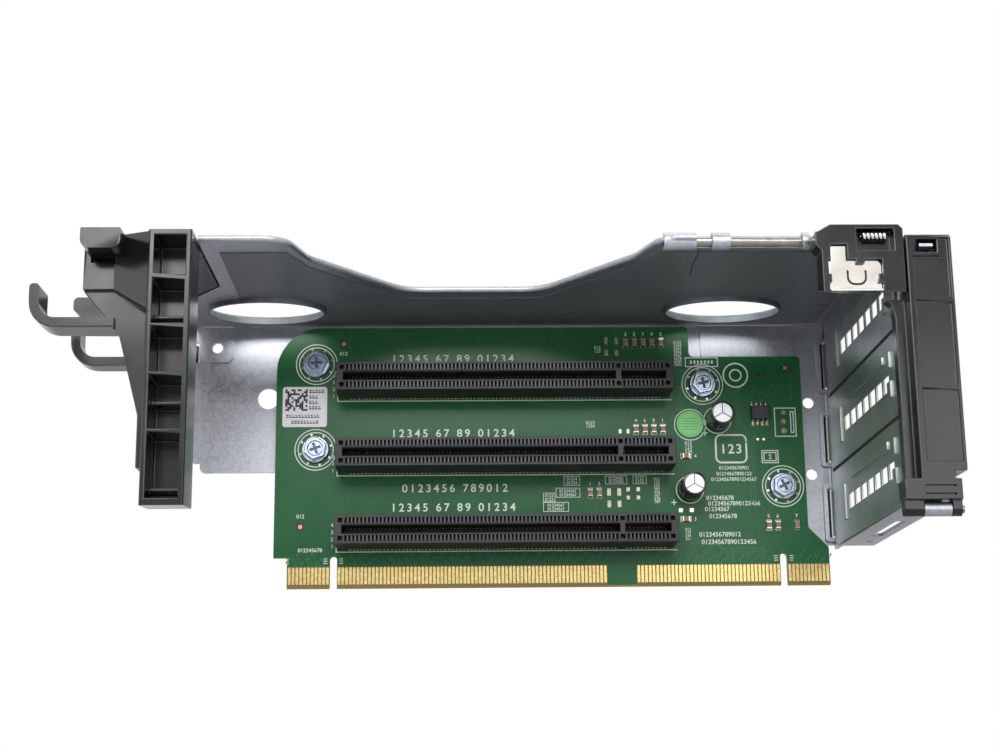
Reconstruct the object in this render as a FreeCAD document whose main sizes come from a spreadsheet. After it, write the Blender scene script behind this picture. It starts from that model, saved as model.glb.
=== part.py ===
import FreeCAD, Part
import Sketcher
import math
import os
import re

# Server riser cage: an upright board with three card sockets in a folded steel cage,
# with a moulded card guide at the left end and a two-piece card latch at the right end.
# Origin at the middle of the card edge, on its lowest line and on the board's front face.
# X runs along the card edge towards the slot panel, Y away from the card side, Z up.

doc = FreeCAD.newDocument("server_riser")
sheet = doc.addObject("Spreadsheet::Sheet", "sizes")

# Driving sizes in millimetres, by piece. Three of them set the whole cage:
# edge_half its length, cage_deep its depth and slot_pitch its height.
sizes = {
    # whole cage
    "edge_half": 71.57,
    "cage_deep": 72.0,
    "slot_pitch": 20.32,
    "slot_low": 10.01,
    "cover_headroom": 1.03,
    # circuit board
    "board_thick": 1.6,
    "board_left_reach": 3.63,
    "board_right_drop": 5.17,
    "board_gap": 1.45,
    "board_shoulder": 8.15,
    "board_step_long": 30.2,
    "board_step_high": 8.4,
    "board_slope_top": 15.35,
    "board_slope_low": 10.0,
    "board_corner_round": 12.0,
    "board_small_round": 1.2,
    "key_notch_inset": 12.15,
    "key_notch_wide": 1.9,
    "key_notch_top": 8.45,
    "edge_bevel": 0.45,
    # board screws and bushes
    "screw_left_inset": 10.7,
    "screw_top_drop": 10.15,
    "screw_mid_drop": 33.55,
    "screw_inner_inset": 26.8,
    "screw_inner_drop": 7.75,
    "screw_right_inset": 6.2,
    "screw_right_rise": 11.05,
    "screw_shank_r": 1.5,
    "screw_hole_r": 1.7,
    "screw_washer_r": 3.65,
    "screw_washer_thick": 0.9,
    "screw_hex_flats": 5.5,
    "screw_hex_high": 1.7,
    "screw_cross_long": 3.4,
    "screw_cross_wide": 0.7,
    "screw_cross_deep": 1.1,
    "bush_flats": 5.5,
    "bush_clear": 0.05,
    # card sockets
    "slot_mid_rise": 4.0,
    "slot_wide": 7.5,
    "slot_high": 11.25,
    "slot_first_pin": 19.64,
    "slot_end_wall": 3.0,
    "pin_pitch": 1.0,
    "pins_long": 71,
    "pins_short": 11,
    "key_step": 3.0,
    "key_bar_wide": 1.3,
    "mouth_wide": 1.9,
    "mouth_end": 1.15,
    "mouth_deep": 8.2,
    "mouth_chamfer": 0.3,
    "pocket_wide": 0.55,
    "pocket_high": 1.5,
    "pocket_deep": 2.2,
    "pocket_row": 2.35,
    "blank_pocket": 1.1,
    "feet_gaps": 18,
    "foot_wide": 1.2,
    "foot_high": 1.6,
    "foot_rise": 0.5,
    # folded sheets
    "sheet_thick": 0.8,
    "bend_inside": 0.4,
    "panel_front": 4.0,
    "panel_left_reach": 23.2,
    "panel_low_left": 31.6,
    "panel_low_right": 11.0,
    "panel_slope_end": 56.4,
    "panel_slope_long": 30.0,
    "panel_corner_cut": 2.6,
    "panel_corner_round": 1.5,
    "panel_hole_r": 1.5,
    "panel_hole_gap": 4.71,
    "panel_hole_upper": 50.0,
    "panel_hole_lower": 30.2,
    "panel_big_hole_r": 2.85,
    "panel_big_hole_inset": 20.6,
    "panel_big_hole_z": 51.9,
    # slot panel, seat flange and foot flange
    "edge_to_cover": 2.14,
    "cover_thick": 0.45,
    "seat_wide": 10.64,
    "window_low": 4.2,
    "window_high": 12.1,
    "window_back": 8.0,
    "window_margin": 7.0,
    "foot_under": 10.0,
    "foot_reach": 8.24,
    "foot_back": 2.0,
    "foot_front_inset": 18.0,
    "foot_tip_inset": 3.0,
    "foot_slot_out": 4.54,
    "foot_slot_front": 44.0,
    "foot_slot_back": 20.6,
    "foot_slot_wide": 2.6,
    "foot_hole_out": 4.94,
    "foot_hole_y": 10.5,
    "foot_hole_r": 0.9,
    "rim_wide": 1.2,
    "rim_proud": 0.9,
    "rim_gap": 0.9,
    # top flange
    "hem_proud": 0.3,
    "hem_wide": 4.5,
    "flange_mid_front": 29.0,
    "rod_room": 6.0,
    "guide_cut_deep": 34.8,
    "guide_cut_left": 19.0,
    "path_left_run": 19.4,
    "path_left_step": 4.3,
    "path_left_drop": 15.8,
    "path_left_slope": 22.0,
    "path_right_slope": 21.5,
    "path_right_drop": 14.8,
    "path_right_step": 5.0,
    "path_outer_round": 6.5,
    "path_mid_round": 10.0,
    "path_inner_round": 12.0,
    "hole_left_inset": 21.8,
    "hole_right_inset": 30.21,
    "hole_mid": 14.4,
    "hole_half_long": 14.8,
    "hole_half_wide": 10.5,
    "hole_lip_deep": 1.4,
    "hole_lip_bevel": 0.6,
    "left_tab_inset": 1.7,
    "left_tab_wide": 9.3,
    "right_tab_inset": 33.71,
    "right_tab_wide": 25.0,
    "tab_high": 10.0,
    "tab_round": 2.0,
    "tab_hole_inset": 6.6,
    "tab_hole_drop": 6.0,
    # dark film under the flange
    "film_thick": 0.25,
    "film_left_gap": 3.8,
    "film_right_gap": 2.21,
    "film_setback": 8.5,
    "film_margin": 4.5,
    "film_back": 1.0,
    "film_hole_margin": 1.4,
    # latch rod and its curls
    "rod_r": 1.25,
    "rod_setback": 2.5,
    "rod_rise": 0.4,
    "rod_long": 49.0,
    "rod_end_gap": 2.71,
    "run_clear": 0.05,
    "curl_first_wide": 7.5,
    "curl_first_lap": 7.0,
    "curl_second_at": 10.7,
    "curl_second_wide": 4.3,
    "curl_third_at": 31.8,
    "curl_third_wide": 1.5,
    "curl_lap": 1.0,
    # vented slot covers
    "cover_gap": 0.5,
    "cover_back": 0.5,
    "cover_tab_inset": 1.0,
    "cover_tab_high": 15.0,
    "tongue_low": 3.4,
    "tongue_high": 12.2,
    "tongue_end": 7.0,
    "tongue_clear": 0.4,
    "vent_count": 7,
    "vent_first": 17.3,
    "vent_pitch": 6.85,
    "vent_long": 5.4,
    "vent_low": 7.55,
    "vent_high": 3.75,
    "bead_proud": 0.5,
    "bead_low": 14.6,
    "bead_high": 1.9,
    "bead_back": 23.0,
    "bead_front_inset": 12.0,
    "end_bead_back": 12.0,
    "end_bead_long": 2.6,
    "end_bead_low": 5.3,
    "end_bead_high": 9.2,
    "dimple_inset": 8.6,
    "dimple_long": 3.2,
    "dimple_high": 3.8,
    "dimple_upper": 12.4,
    "dimple_lower": 5.5,
    # card guide column
    "guide_inset": 2.0,
    "guide_wide": 9.8,
    "guide_reach": 6.0,
    "guide_deep": 12.0,
    "guide_low": 9.8,
    "guide_rise": 1.0,
    "guide_wall": 1.25,
    "guide_floor": 1.6,
    "guide_foot_wall": 1.65,
    "guide_foot_slant": 1.0,
    "guide_round": 0.5,
    "guide_clear": 0.4,
    "guide_lip": 4.0,
    "guide_lip_thick": 1.4,
    "rib_thick": 0.8,
    "rib_top_drop": 11.5,
    "rib_pitch": 11.2,
    "rib_low": 26.1,
    "ledge_upper": 53.2,
    "ledge_lower": 33.3,
    "ledge_foot": 13.6,
    "ledge_recess": 5.0,
    # card guide shoulder block, grip and hooks
    "wing_wide": 15.1,
    "wing_reach": 2.0,
    "wing_back_gap": 5.2,
    "wing_rise": 0.7,
    "wing_high": 12.9,
    "wing_step": 1.2,
    "wing_taper_out": 6.7,
    "wing_taper_high": 10.55,
    "wing_low_out": 2.0,
    "wing_low_drop": 18.25,
    "wing_foot_drop": 12.0,
    "wing_wall": 1.8,
    "gusset_out": 8.2,
    "gusset_drop": 5.0,
    "grip_inset": 0.6,
    "grip_wide": 9.0,
    "grip_drop": 0.5,
    "grip_high": 4.8,
    "grip_reach": 8.0,
    "grip_round": 2.0,
    "grip_recess_drop": 1.4,
    "hook_thick": 2.3,
    "hook_outer_round": 6.0,
    "hook_tip_round": 0.9,
    "front_hook_out": 12.1,
    "front_hook_rise": 1.95,
    "front_hook_high": 10.3,
    "front_hook_deep": 8.4,
    "front_hook_inset": 1.0,
    "rear_hook_out": 8.4,
    "rear_hook_drop": 0.55,
    "rear_hook_high": 10.4,
    "rear_hook_inset": 2.0,
    "rear_hook_deep": 5.6,
    "rear_hook_setback": 7.0,
    "lug_out": 8.2,
    "lug_rise": 2.3,
    "lug_high": 3.8,
    "lug_round": 1.2,
    "arm_thick": 1.6,
    "arm_rise": 0.4,
    "arm_high": 4.8,
    # upper latch block
    "block_overhang": 0.74,
    "block_wide": 18.8,
    "block_cheek_gap": 1.31,
    "block_cheek_inset": 1.0,
    "block_rise": 0.7,
    "block_high": 16.1,
    "block_reach": 8.0,
    "block_gap": 2.0,
    "block_barrel_r": 2.3,
    "block_cap": 1.0,
    "block_ear": 1.3,
    "block_window_inset": 2.1,
    "block_window_wide": 8.6,
    "block_window_high": 5.2,
    "block_window_deep": 3.2,
    "block_recess_deep": 1.5,
    "block_foot_slant": 1.7,
    # clip plate and spring
    "clip_thick": 0.5,
    "clip_inset": 1.6,
    "clip_wide": 11.9,
    "clip_rise": 0.2,
    "clip_high": 7.5,
    "clip_round": 1.4,
    "clip_clear": 0.15,
    "clip_leg_inset": 0.6,
    "clip_leg_wide": 3.5,
    "clip_leg_high": 3.55,
    "clip_slit": 0.5,
    "clip_tongue_inset": 4.5,
    "clip_tongue_wide": 3.6,
    "clip_tongue_rise": 2.2,
    "clip_tongue_high": 3.0,
    "finger_wide": 2.0,
    "finger_lap": 0.9,
    "finger_root": 1.0,
    "spring_r": 1.3,
    "spring_waist": 0.5,
    "spring_left_gap": 1.1,
    "spring_right_gap": 0.8,
    "spring_drop": 1.35,
    # lower latch bar
    "latch_gap": 0.4,
    "bar_reach": 8.5,
    "bar_gap": 0.34,
    "bar_drop": 1.25,
    "bar_step_z": 16.0,
    "bar_step_wide": 2.9,
    "bar_wall": 1.4,
    "bar_left_rib": 1.5,
    "bar_top_bevel": 0.9,
    "bar_panel_recess": 0.7,
    "bar_rib_thick": 0.7,
    "bar_rib_rise": 4.2,
    "bar_window_inset": 1.9,
    "bar_window_wide": 4.9,
    "bar_window_drop": 4.55,
    "bar_window_high": 3.0,
    "bar_frame": 0.9,
    "bar_frame_proud": 0.4,
    "snap_inset": 0.9,
    "snap_wide": 3.2,
    "snap_rise": 1.6,
    "snap_proud": 0.5,
    "bar_web_out": 2.4,
    "bar_web_flare": 1.9,
    "bar_web_flare_high": 4.2,
    "bar_web_deep": 3.3,
    "bar_web_gap": 0.8,
    "bar_foot_out": 3.8,
    "bar_foot_inset": 1.4,
    "bar_foot_top": 14.3,
    "bar_foot_gap": 2.4,
    "foot_slit_wide": 0.5,
    "foot_slit_deep": 0.8,
    "hinge_reach": 5.7,
    "hinge_z": 7.8,
    "hinge_knuckle_r": 1.6,
    "hinge_pin_r": 0.9,
    "hinge_inset": 0.6,
    "hinge_wide": 6.0,
    "hinge_side_clear": 0.25,
    "pin_proud": 0.7,
    # parts on the board
    "can_r": 3.15,
    "can_high": 10.0,
    "can_groove": 0.25,
    "can_groove_high": 0.6,
    "can_base": 1.0,
    "can_top_bevel": 0.3,
    "can_one_inset": 23.1,
    "can_one_drop": 10.15,
    "can_two_inset": 31.2,
    "can_two_drop": 8.73,
    "chip_inset": 11.6,
    "chip_drop": 8.35,
    "chip_long": 4.9,
    "chip_wide": 3.9,
    "chip_high": 1.5,
    "lead_pitch": 1.27,
    "leads_a_side": 4,
    "lead_wide": 0.42,
    "lead_reach": 1.05,
    "lead_thick": 0.2,
    "label_inset": 1.7,
    "label_wide": 11.9,
    "label_rise": 6.2,
    "label_high": 11.0,
    "label_thick": 0.12,
    "dot_inset": 30.5,
    "dot_drop": 11.15,
    "dot_r": 3.6,
    "cap_long": 2.0,
    "cap_wide": 1.25,
    "cap_high": 0.9,
    "cap_spacing": 2.4,
}

# Places worked out from the driving sizes
places = {
    # whole cage
    "flange_under": "slot_low + 3 * slot_pitch + cover_headroom",
    "flange_top": "flange_under + sheet_thick",
    "seat_front": "-cage_deep",
    "cover_inner": "edge_half + edge_to_cover",
    "slot_panel": "cover_inner + cover_thick",
    "panel_right": "slot_panel + sheet_thick",
    "panel_left": "board_left - panel_left_reach",
    "panel_back": "panel_front + sheet_thick",
    # circuit board and its screws
    "board_left": "-(edge_half + board_left_reach)",
    "board_right": "edge_half - board_right_drop",
    "board_top": "flange_under - board_gap",
    "board_step_x": "board_right - board_step_long",
    "board_step_z": "board_top - board_step_high",
    "key_notch_x": "edge_half - key_notch_inset",
    "key_notch_mid": "key_notch_top - key_notch_wide / 2",
    "screw_left_x": "board_left + screw_left_inset",
    "screw_top_z": "board_top - screw_top_drop",
    "screw_mid_z": "board_top - screw_mid_drop",
    "screw_inner_x": "board_right - screw_inner_inset",
    "screw_inner_z": "board_step_z - screw_inner_drop",
    "screw_right_x": "board_right - screw_right_inset",
    "screw_right_z": "board_slope_top + screw_right_rise",
    # card sockets, numbered from the top
    "slot_line_one": "slot_low + 2 * slot_pitch",
    "slot_one_z": "slot_line_one + slot_mid_rise",
    "first_pin": "board_left + slot_first_pin",
    "last_pin": "first_pin + (pins_long + pins_short - 2) * pin_pitch + key_step",
    "key_mid": "first_pin + (pins_long - 1) * pin_pitch + key_step / 2",
    "socket_left": "first_pin - slot_end_wall",
    "socket_right": "last_pin + slot_end_wall",
    "socket_low": "slot_one_z - slot_wide / 2",
    "socket_high": "slot_one_z + slot_wide / 2",
    "foot_step": "(socket_right - socket_left) / feet_gaps",
    # folded panel
    "panel_slope_end_x": "board_right - panel_slope_end",
    "panel_slope_x": "panel_slope_end_x - panel_slope_long",
    "panel_hole_x": "cover_inner - panel_hole_gap",
    "panel_big_hole_x": "panel_left + panel_big_hole_inset",
    "seat_right": "panel_right + seat_wide",
    "window_front": "seat_front + window_margin",
    "foot_right": "panel_right + foot_reach",
    "foot_front": "seat_front + foot_front_inset",
    "foot_tip": "seat_front + foot_tip_inset",
    "foot_slot_x": "panel_right + foot_slot_out",
    "foot_hole_x": "panel_right + foot_hole_out",
    "rim_left": "cover_inner - rim_gap",
    # top flange and film
    "hem_line": "seat_front - hem_proud + sheet_thick",
    "rod_edge": "seat_front + rod_room",
    "guide_cut_x": "guide_right + guide_clear",
    "path_left_x": "guide_cut_x + path_left_run",
    "path_left_mid_x": "path_left_x + path_left_step",
    "path_left_y": "seat_front - hem_proud + path_left_drop",
    "path_left_end_x": "path_left_mid_x + path_left_slope",
    "path_right_end_x": "path_right_mid_x - path_right_slope",
    "path_right_mid_x": "path_right_x - path_right_step",
    "path_right_y": "seat_front - hem_proud + path_right_drop",
    "path_right_x": "curl_first_end - curl_first_wide",
    "hole_left_x": "panel_left + hole_left_inset",
    "hole_right_x": "cover_inner - hole_right_inset",
    "left_tab_left": "panel_left + left_tab_inset",
    "left_tab_right": "left_tab_left + left_tab_wide",
    "right_tab_left": "cover_inner - right_tab_inset",
    "right_tab_right": "right_tab_left + right_tab_wide",
    "tab_low": "flange_under - tab_high",
    "tab_hole_x": "panel_left + tab_hole_inset",
    "tab_hole_z": "flange_under - tab_hole_drop",
    "film_left": "guide_cut_x + film_left_gap",
    "film_right": "cover_inner - film_right_gap",
    "film_front": "seat_front + film_setback",
    # latch rod and its curls
    "rod_y": "seat_front + rod_setback",
    "rod_z": "flange_under + rod_rise",
    "rod_right": "cover_inner - rod_end_gap",
    "rod_left": "rod_right - rod_long",
    "curl_first_end": "rod_left + curl_first_lap",
    "curl_second_left": "rod_left + curl_second_at",
    "curl_second_right": "curl_second_left + curl_second_wide",
    "curl_third_left": "rod_left + curl_third_at",
    "curl_third_right": "curl_third_left + curl_third_wide",
    # slot covers
    "cover_low": "slot_line_one + cover_gap",
    "cover_high": "slot_line_one + slot_pitch - cover_gap",
    "cover_front": "seat_front - cover_thick",
    "cover_tab_right": "seat_right - cover_tab_inset",
    "tongue_under": "slot_line_one + tongue_low",
    "tongue_top": "tongue_under + tongue_high",
    "bead_front": "seat_front + bead_front_inset",
    "dimple_back": "seat_front + dimple_inset",
    # card guide
    "guide_left": "panel_left + guide_inset",
    "guide_right": "guide_left + guide_wide",
    "guide_front": "seat_front - guide_reach",
    "guide_back": "guide_front + guide_deep",
    "guide_top": "flange_under + guide_rise",
    "rib_top": "guide_top - rib_top_drop",
    "wing_left": "guide_left - wing_wide",
    "wing_front": "seat_front - wing_reach",
    "wing_back": "-(guide_cut_deep + wing_back_gap)",
    "wing_top": "flange_under + wing_rise",
    "wing_ledge": "wing_top - wing_high",
    "wing_taper_x": "guide_left - wing_taper_out",
    "wing_taper_z": "wing_ledge - wing_taper_high",
    "wing_low_x": "guide_left - wing_low_out",
    "wing_low_z": "wing_taper_z - wing_low_drop",
    "wing_foot_z": "wing_low_z - wing_foot_drop",
    "gusset_x": "guide_left - gusset_out",
    "gusset_low": "wing_ledge - gusset_drop",
    "grip_left": "wing_left + grip_inset",
    "grip_right": "grip_left + grip_wide",
    "grip_top": "wing_top - grip_drop",
    "grip_low": "grip_top - grip_high",
    "front_hook_left": "wing_left - front_hook_out",
    "front_hook_right": "wing_taper_x - front_hook_inset",
    "front_hook_low": "wing_taper_z + front_hook_rise",
    "front_hook_top": "front_hook_low + front_hook_high",
    "front_hook_front": "wing_front",
    "rear_hook_left": "wing_left - rear_hook_out",
    "rear_hook_right": "wing_taper_x + rear_hook_inset",
    "rear_hook_low": "wing_taper_z - rear_hook_drop",
    "rear_hook_top": "rear_hook_low + rear_hook_high",
    "rear_hook_front": "wing_back - rear_hook_setback",
    "lug_left": "wing_left - lug_out",
    "lug_low": "wing_ledge + lug_rise",
    "lug_top": "lug_low + lug_high",
    "arm_right": "panel_left - guide_clear",
    "arm_left": "arm_right - arm_thick",
    "arm_low": "tab_low + arm_rise",
    "arm_top": "arm_low + arm_high",
    "arm_back": "panel_back + guide_clear + arm_thick",
    "cut_front_y": "-guide_cut_deep",
    "cut_left_y": "-guide_cut_left",
    # upper latch
    "block_right": "slot_panel + block_overhang",
    "block_left": "block_right - block_wide",
    "block_front": "seat_front - block_reach",
    "block_back": "seat_front - block_gap",
    "block_top": "rod_z + block_rise",
    "block_low": "block_top - block_high",
    "cheek_left": "block_left + block_cheek_inset",
    "cheek_right": "cover_inner - block_cheek_gap",
    "window_top_z": "block_top - block_cap",
    "window_low_z": "window_top_z - block_window_high",
    "window_right_x": "block_right - block_window_inset",
    "window_left_x": "window_right_x - block_window_wide",
    "recess_floor": "block_front + block_recess_deep",
    "clip_left": "block_left + clip_inset",
    "clip_right": "clip_left + clip_wide",
    "clip_low": "block_low + clip_rise",
    "clip_top": "clip_low + clip_high",
    "clip_leg_left": "clip_left + clip_leg_inset",
    "clip_leg_right": "clip_leg_left + clip_leg_wide",
    "clip_leg_top": "clip_top + clip_leg_high",
    "clip_tongue_left": "clip_left + clip_tongue_inset",
    "clip_tongue_right": "clip_tongue_left + clip_tongue_wide",
    "clip_tongue_low": "clip_low + clip_tongue_rise",
    "clip_tongue_top": "clip_tongue_low + clip_tongue_high",
    "finger_high": "block_recess_deep - clip_thick - run_clear",
    "spring_left": "window_left_x + spring_left_gap",
    "spring_right": "window_right_x - spring_right_gap",
    "spring_mid": "(spring_left + spring_right) / 2",
    "spring_z": "window_top_z - spring_drop",
    # lower latch
    "bar_left": "block_right + latch_gap",
    "bar_right": "seat_right",
    "bar_front": "seat_front - bar_reach",
    "bar_back": "cover_front - bar_gap",
    "bar_top": "flange_under - bar_drop",
    "bar_step_x": "bar_right - bar_step_wide",
    "bar_rib_lower": "slot_low + slot_pitch + bar_rib_rise",
    "bar_rib_upper": "bar_rib_lower + slot_pitch",
    "bar_window_left": "bar_left + bar_window_inset",
    "bar_window_right": "bar_window_left + bar_window_wide",
    "bar_window_low": "bar_top - bar_window_drop",
    "bar_window_top": "bar_window_low + bar_window_high",
    "snap_left": "bar_window_left + snap_inset",
    "snap_right": "snap_left + snap_wide",
    "snap_mid_z": "bar_window_low + snap_rise",
    "snap_tip": "bar_front - snap_proud",
    "bar_web_left": "bar_left - bar_web_out",
    "bar_web_top": "block_low - bar_web_gap",
    "bar_foot_left": "bar_left - bar_foot_out",
    "bar_foot_right": "bar_right - bar_foot_inset",
    "bar_foot_back": "seat_front - bar_foot_gap",
    "bar_foot_low": "hinge_z + hinge_knuckle_r + hinge_side_clear",
    "hinge_y": "seat_front - hinge_reach",
    "hinge_left": "bar_left + hinge_inset",
    "hinge_right": "hinge_left + hinge_wide",
    "pin_end": "bar_foot_right + pin_proud",
    # parts on the board
    "can_one_x": "board_right - can_one_inset",
    "can_one_z": "slot_one_z - can_one_drop",
    "can_two_x": "board_right - can_two_inset",
    "can_two_z": "slot_one_z - slot_pitch - can_two_drop",
    "chip_x": "board_right - chip_inset",
    "chip_z": "slot_one_z - chip_drop",
    "label_left": "board_left + label_inset",
    "label_low": "screw_mid_z + label_rise",
    "dot_x": "board_right - dot_inset",
    "dot_z": "slot_one_z - dot_drop",
}

for row, (name, number) in enumerate(sizes.items(), start=1):
    sheet.set(f"A{row}", name)
    sheet.set(f"B{row}", str(number))
    sheet.setAlias(f"B{row}", name)
gauge = doc.addObject("App::FeaturePython", "gauge")
gauge.addProperty("App::PropertyFloat", "reading")
doc.recompute()

near = 0.01
nodes = []
along_x = FreeCAD.Vector(1, 0, 0)
along_y = FreeCAD.Vector(0, 1, 0)
along_z = FreeCAD.Vector(0, 0, 1)


# Helpers for bound sketches and features

def linked(text):
    def spelled(word):
        name = word.group(0)
        if name in places:
            return "(" + linked(places[name]) + ")"
        return "sizes." + name if name in sizes else name
    return re.sub(r"[a-z]\w*", spelled, text)


def bind(feature, prop, text):
    feature.setExpression(prop, linked(text))


def amount(text):
    bind(gauge, "reading", text)
    gauge.recompute()
    return gauge.reading


def new_body(name):
    body = doc.addObject("PartDesign::Body", name)
    body.Label = name
    return body


def new_sketch(body, role, offset, across="0", along_plane="0"):
    sketch = body.newObject("Sketcher::SketchObject", "outline")
    plane = [item for item in body.Origin.OriginFeatures if item.Role == role][0]
    sketch.AttachmentSupport = [(plane, "")]
    sketch.MapMode = "FlatFace"
    bind(sketch, "AttachmentOffset.Base.x", across)
    bind(sketch, "AttachmentOffset.Base.y", along_plane)
    bind(sketch, "AttachmentOffset.Base.z", offset)
    return sketch


def constrain(sketch, text, kind, *where):
    index = sketch.addConstraint(Sketcher.Constraint(kind, *where, amount(text)))
    bind(sketch, f"Constraints[{index}]", text)


def fix_point(sketch, geometry, corner, place):
    for kind, text in zip(("DistanceX", "DistanceY"), place):
        constrain(sketch, text, kind, -1, 1, geometry, corner)


def add_loop(sketch, points):
    first = sketch.GeometryCount
    count = len(points)
    turns = [2 * math.pi * i / count for i in range(count)]
    ring = [FreeCAD.Vector(10 * math.cos(turn), 10 * math.sin(turn), 0) for turn in turns]
    for i in range(count):
        sketch.addGeometry(Part.LineSegment(ring[i], ring[(i + 1) % count]), False)
    for i in range(count):
        sketch.addConstraint(Sketcher.Constraint("Coincident", first + i, 2, first + (i + 1) % count, 1))
    for i, place in enumerate(points):
        fix_point(sketch, first + i, 1, place)


def polygon(body, role, offset, *loops, across="0", along_plane="0"):
    sketch = new_sketch(body, role, offset, across, along_plane)
    for points in loops:
        add_loop(sketch, points)
    return sketch


def rectangle(left, low, right, high):
    return [(left, low), (right, low), (right, high), (left, high)]


def circles(body, role, offset, middles, radius):
    sketch = new_sketch(body, role, offset)
    for i, middle in enumerate(middles):
        sketch.addGeometry(Part.Circle(FreeCAD.Vector(10 * i, 0, 0), along_z, 1.0), False)
        fix_point(sketch, i, 3, middle)
        constrain(sketch, radius, "Radius", i)
    return sketch


def ellipse(body, offset, middle, half_long, half_wide):
    sketch = new_sketch(body, "XY_Plane", offset)
    sketch.addGeometry(Part.Ellipse(FreeCAD.Vector(), 3.0, 2.0), False)
    sketch.exposeInternalGeometry(0)
    sketch.addConstraint(Sketcher.Constraint("Horizontal", 1))
    fix_point(sketch, 0, 3, middle)
    constrain(sketch, f"2 * ({half_long})", "Distance", 1)
    constrain(sketch, f"2 * ({half_wide})", "Distance", 2)
    return sketch


def settle(feature):
    doc.recompute()
    if "Invalid" in feature.State or not feature.isValid() or feature.Shape.isNull():
        raise RuntimeError(f"{feature.Name} does not build: {feature.getStatusString()}")
    return feature


def pad(body, sketch, length):
    feature = body.newObject("PartDesign::Pad", "pad")
    feature.Profile = sketch
    bind(feature, "Length", length)
    return settle(feature)


def turned(body, sketch, axis):
    feature = body.newObject("PartDesign::Revolution", "turned")
    feature.Profile = sketch
    feature.ReferenceAxis = (sketch, [axis])
    feature.Angle = 360
    return settle(feature)


def pocket(body, sketch, depth, backwards=False):
    before = body.Shape.Volume
    feature = body.newObject("PartDesign::Pocket", "pocket")
    feature.Profile = sketch
    feature.Reversed = backwards
    bind(feature, "Length", depth)
    settle(feature)
    if feature.Shape.Volume > before - 1e-6:
        raise RuntimeError(f"{feature.Name} of {body.Label} removes nothing")
    return feature


def repeat(body, originals, sketch, axis, count, step, backwards=False):
    pattern = body.newObject("PartDesign::LinearPattern", "row")
    pattern.Originals = originals
    pattern.Direction = (sketch, [axis])
    pattern.Reversed = backwards
    pattern.Mode = "Spacing"
    bind(pattern, "Occurrences", count)
    bind(pattern, "Offset", step)
    body.Tip = pattern
    return settle(pattern)


def edges_where(body, test):
    return [f"Edge{i}" for i, edge in enumerate(body.Shape.Edges, start=1) if test(edge)]


def along(edge, direction):
    if not isinstance(edge.Curve, Part.Line):
        return False
    return edge.tangentAt(edge.FirstParameter).cross(direction).Length < 1e-6


def corner_edges(body, direction, *corners):
    spots = [FreeCAD.Vector(*[amount(text) for text in corner]) for corner in corners]

    def test(edge):
        if not along(edge, direction):
            return False
        middle = edge.CenterOfMass
        return any((middle - spot).cross(direction).Length < near for spot in spots)
    return edges_where(body, test)


def round_edges(body, names, radius):
    base = body.Tip
    feature = body.newObject("PartDesign::Fillet", "rounding")
    feature.Base = (base, names)
    bind(feature, "Radius", radius)
    return settle(feature)


def bevel_edges(body, names, width):
    base = body.Tip
    feature = body.newObject("PartDesign::Chamfer", "bevel")
    feature.Base = (base, names)
    bind(feature, "Size", width)
    return settle(feature)


def set_corner(feature, corner):
    for letter, text in zip("xyz", corner):
        bind(feature, f"Placement.Base.{letter}", text)


def box(name, corner, extents):
    block = doc.addObject("Part::Box", name)
    for prop, text in zip(("Length", "Width", "Height"), extents):
        bind(block, prop, text)
    set_corner(block, corner)
    return block


def rod_along(name, axis, radius, length, corner):
    turn = {"x": FreeCAD.Rotation(along_y, 90), "y": FreeCAD.Rotation(along_x, -90)}[axis]
    cylinder = doc.addObject("Part::Cylinder", name)
    cylinder.Placement = FreeCAD.Placement(FreeCAD.Vector(), turn)
    bind(cylinder, "Radius", radius)
    bind(cylinder, "Height", length)
    set_corner(cylinder, corner)
    return cylinder


def fuse(name, pieces):
    joined = doc.addObject("Part::MultiFuse", name)
    joined.Shapes = pieces
    return joined


def cut(name, base, tool):
    result = doc.addObject("Part::Cut", name)
    result.Base = base
    result.Tool = tool
    return result


def keep(name, feature):
    feature.Label = name
    nodes.append(feature)


def group(name, pieces):
    compound = doc.addObject("Part::Compound", name)
    compound.Links = pieces
    keep(name, compound)


def copy_of(name, source, step):
    twin = doc.addObject("App::Link", name)
    twin.LinkedObject = source
    bind(twin, "Placement.Base.z", step)
    keep(name, twin)


screw_places = [
    ("screw_left_x", "screw_top_z"),
    ("screw_left_x", "screw_mid_z"),
    ("screw_inner_x", "screw_inner_z"),
    ("screw_right_x", "screw_right_z"),
]


# Circuit board: outline with a stepped top edge, keyed and bevelled card edge, screw holes
board = new_body("riser_board")
pad(board, polygon(board, "XZ_Plane", "-board_thick", [
    ("-edge_half", "0"),
    ("edge_half", "0"),
    ("edge_half", "board_slope_low"),
    ("board_right", "board_slope_top"),
    ("board_right", "board_step_z"),
    ("board_step_x", "board_step_z"),
    ("board_step_x", "board_top"),
    ("board_left", "board_top"),
    ("board_left", "board_shoulder"),
    ("-edge_half", "board_shoulder"),
]), "board_thick")
round_edges(board, corner_edges(board, along_y, ("board_left", "0", "board_top")), "board_corner_round")
round_edges(board, corner_edges(board, along_y, ("board_step_x", "0", "board_step_z"),
                                ("board_step_x", "0", "board_top"), ("board_right", "0", "board_step_z")),
            "board_small_round")
bevel_edges(board, corner_edges(board, along_x, ("0", "0", "0"), ("0", "board_thick", "0")), "edge_bevel")
for side in ("-", ""):
    middle = f"{side}key_notch_x"
    pocket(board, polygon(board, "XZ_Plane", "0", rectangle(
        f"{middle} - key_notch_wide / 2", "-key_notch_wide", f"{middle} + key_notch_wide / 2",
        "key_notch_mid")),
        "board_thick")
    pocket(board, circles(board, "XZ_Plane", "0", [(middle, "key_notch_mid")], "key_notch_wide / 2"),
           "board_thick")
pocket(board, circles(board, "XZ_Plane", "0", screw_places, "screw_hole_r"), "board_thick")
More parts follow.
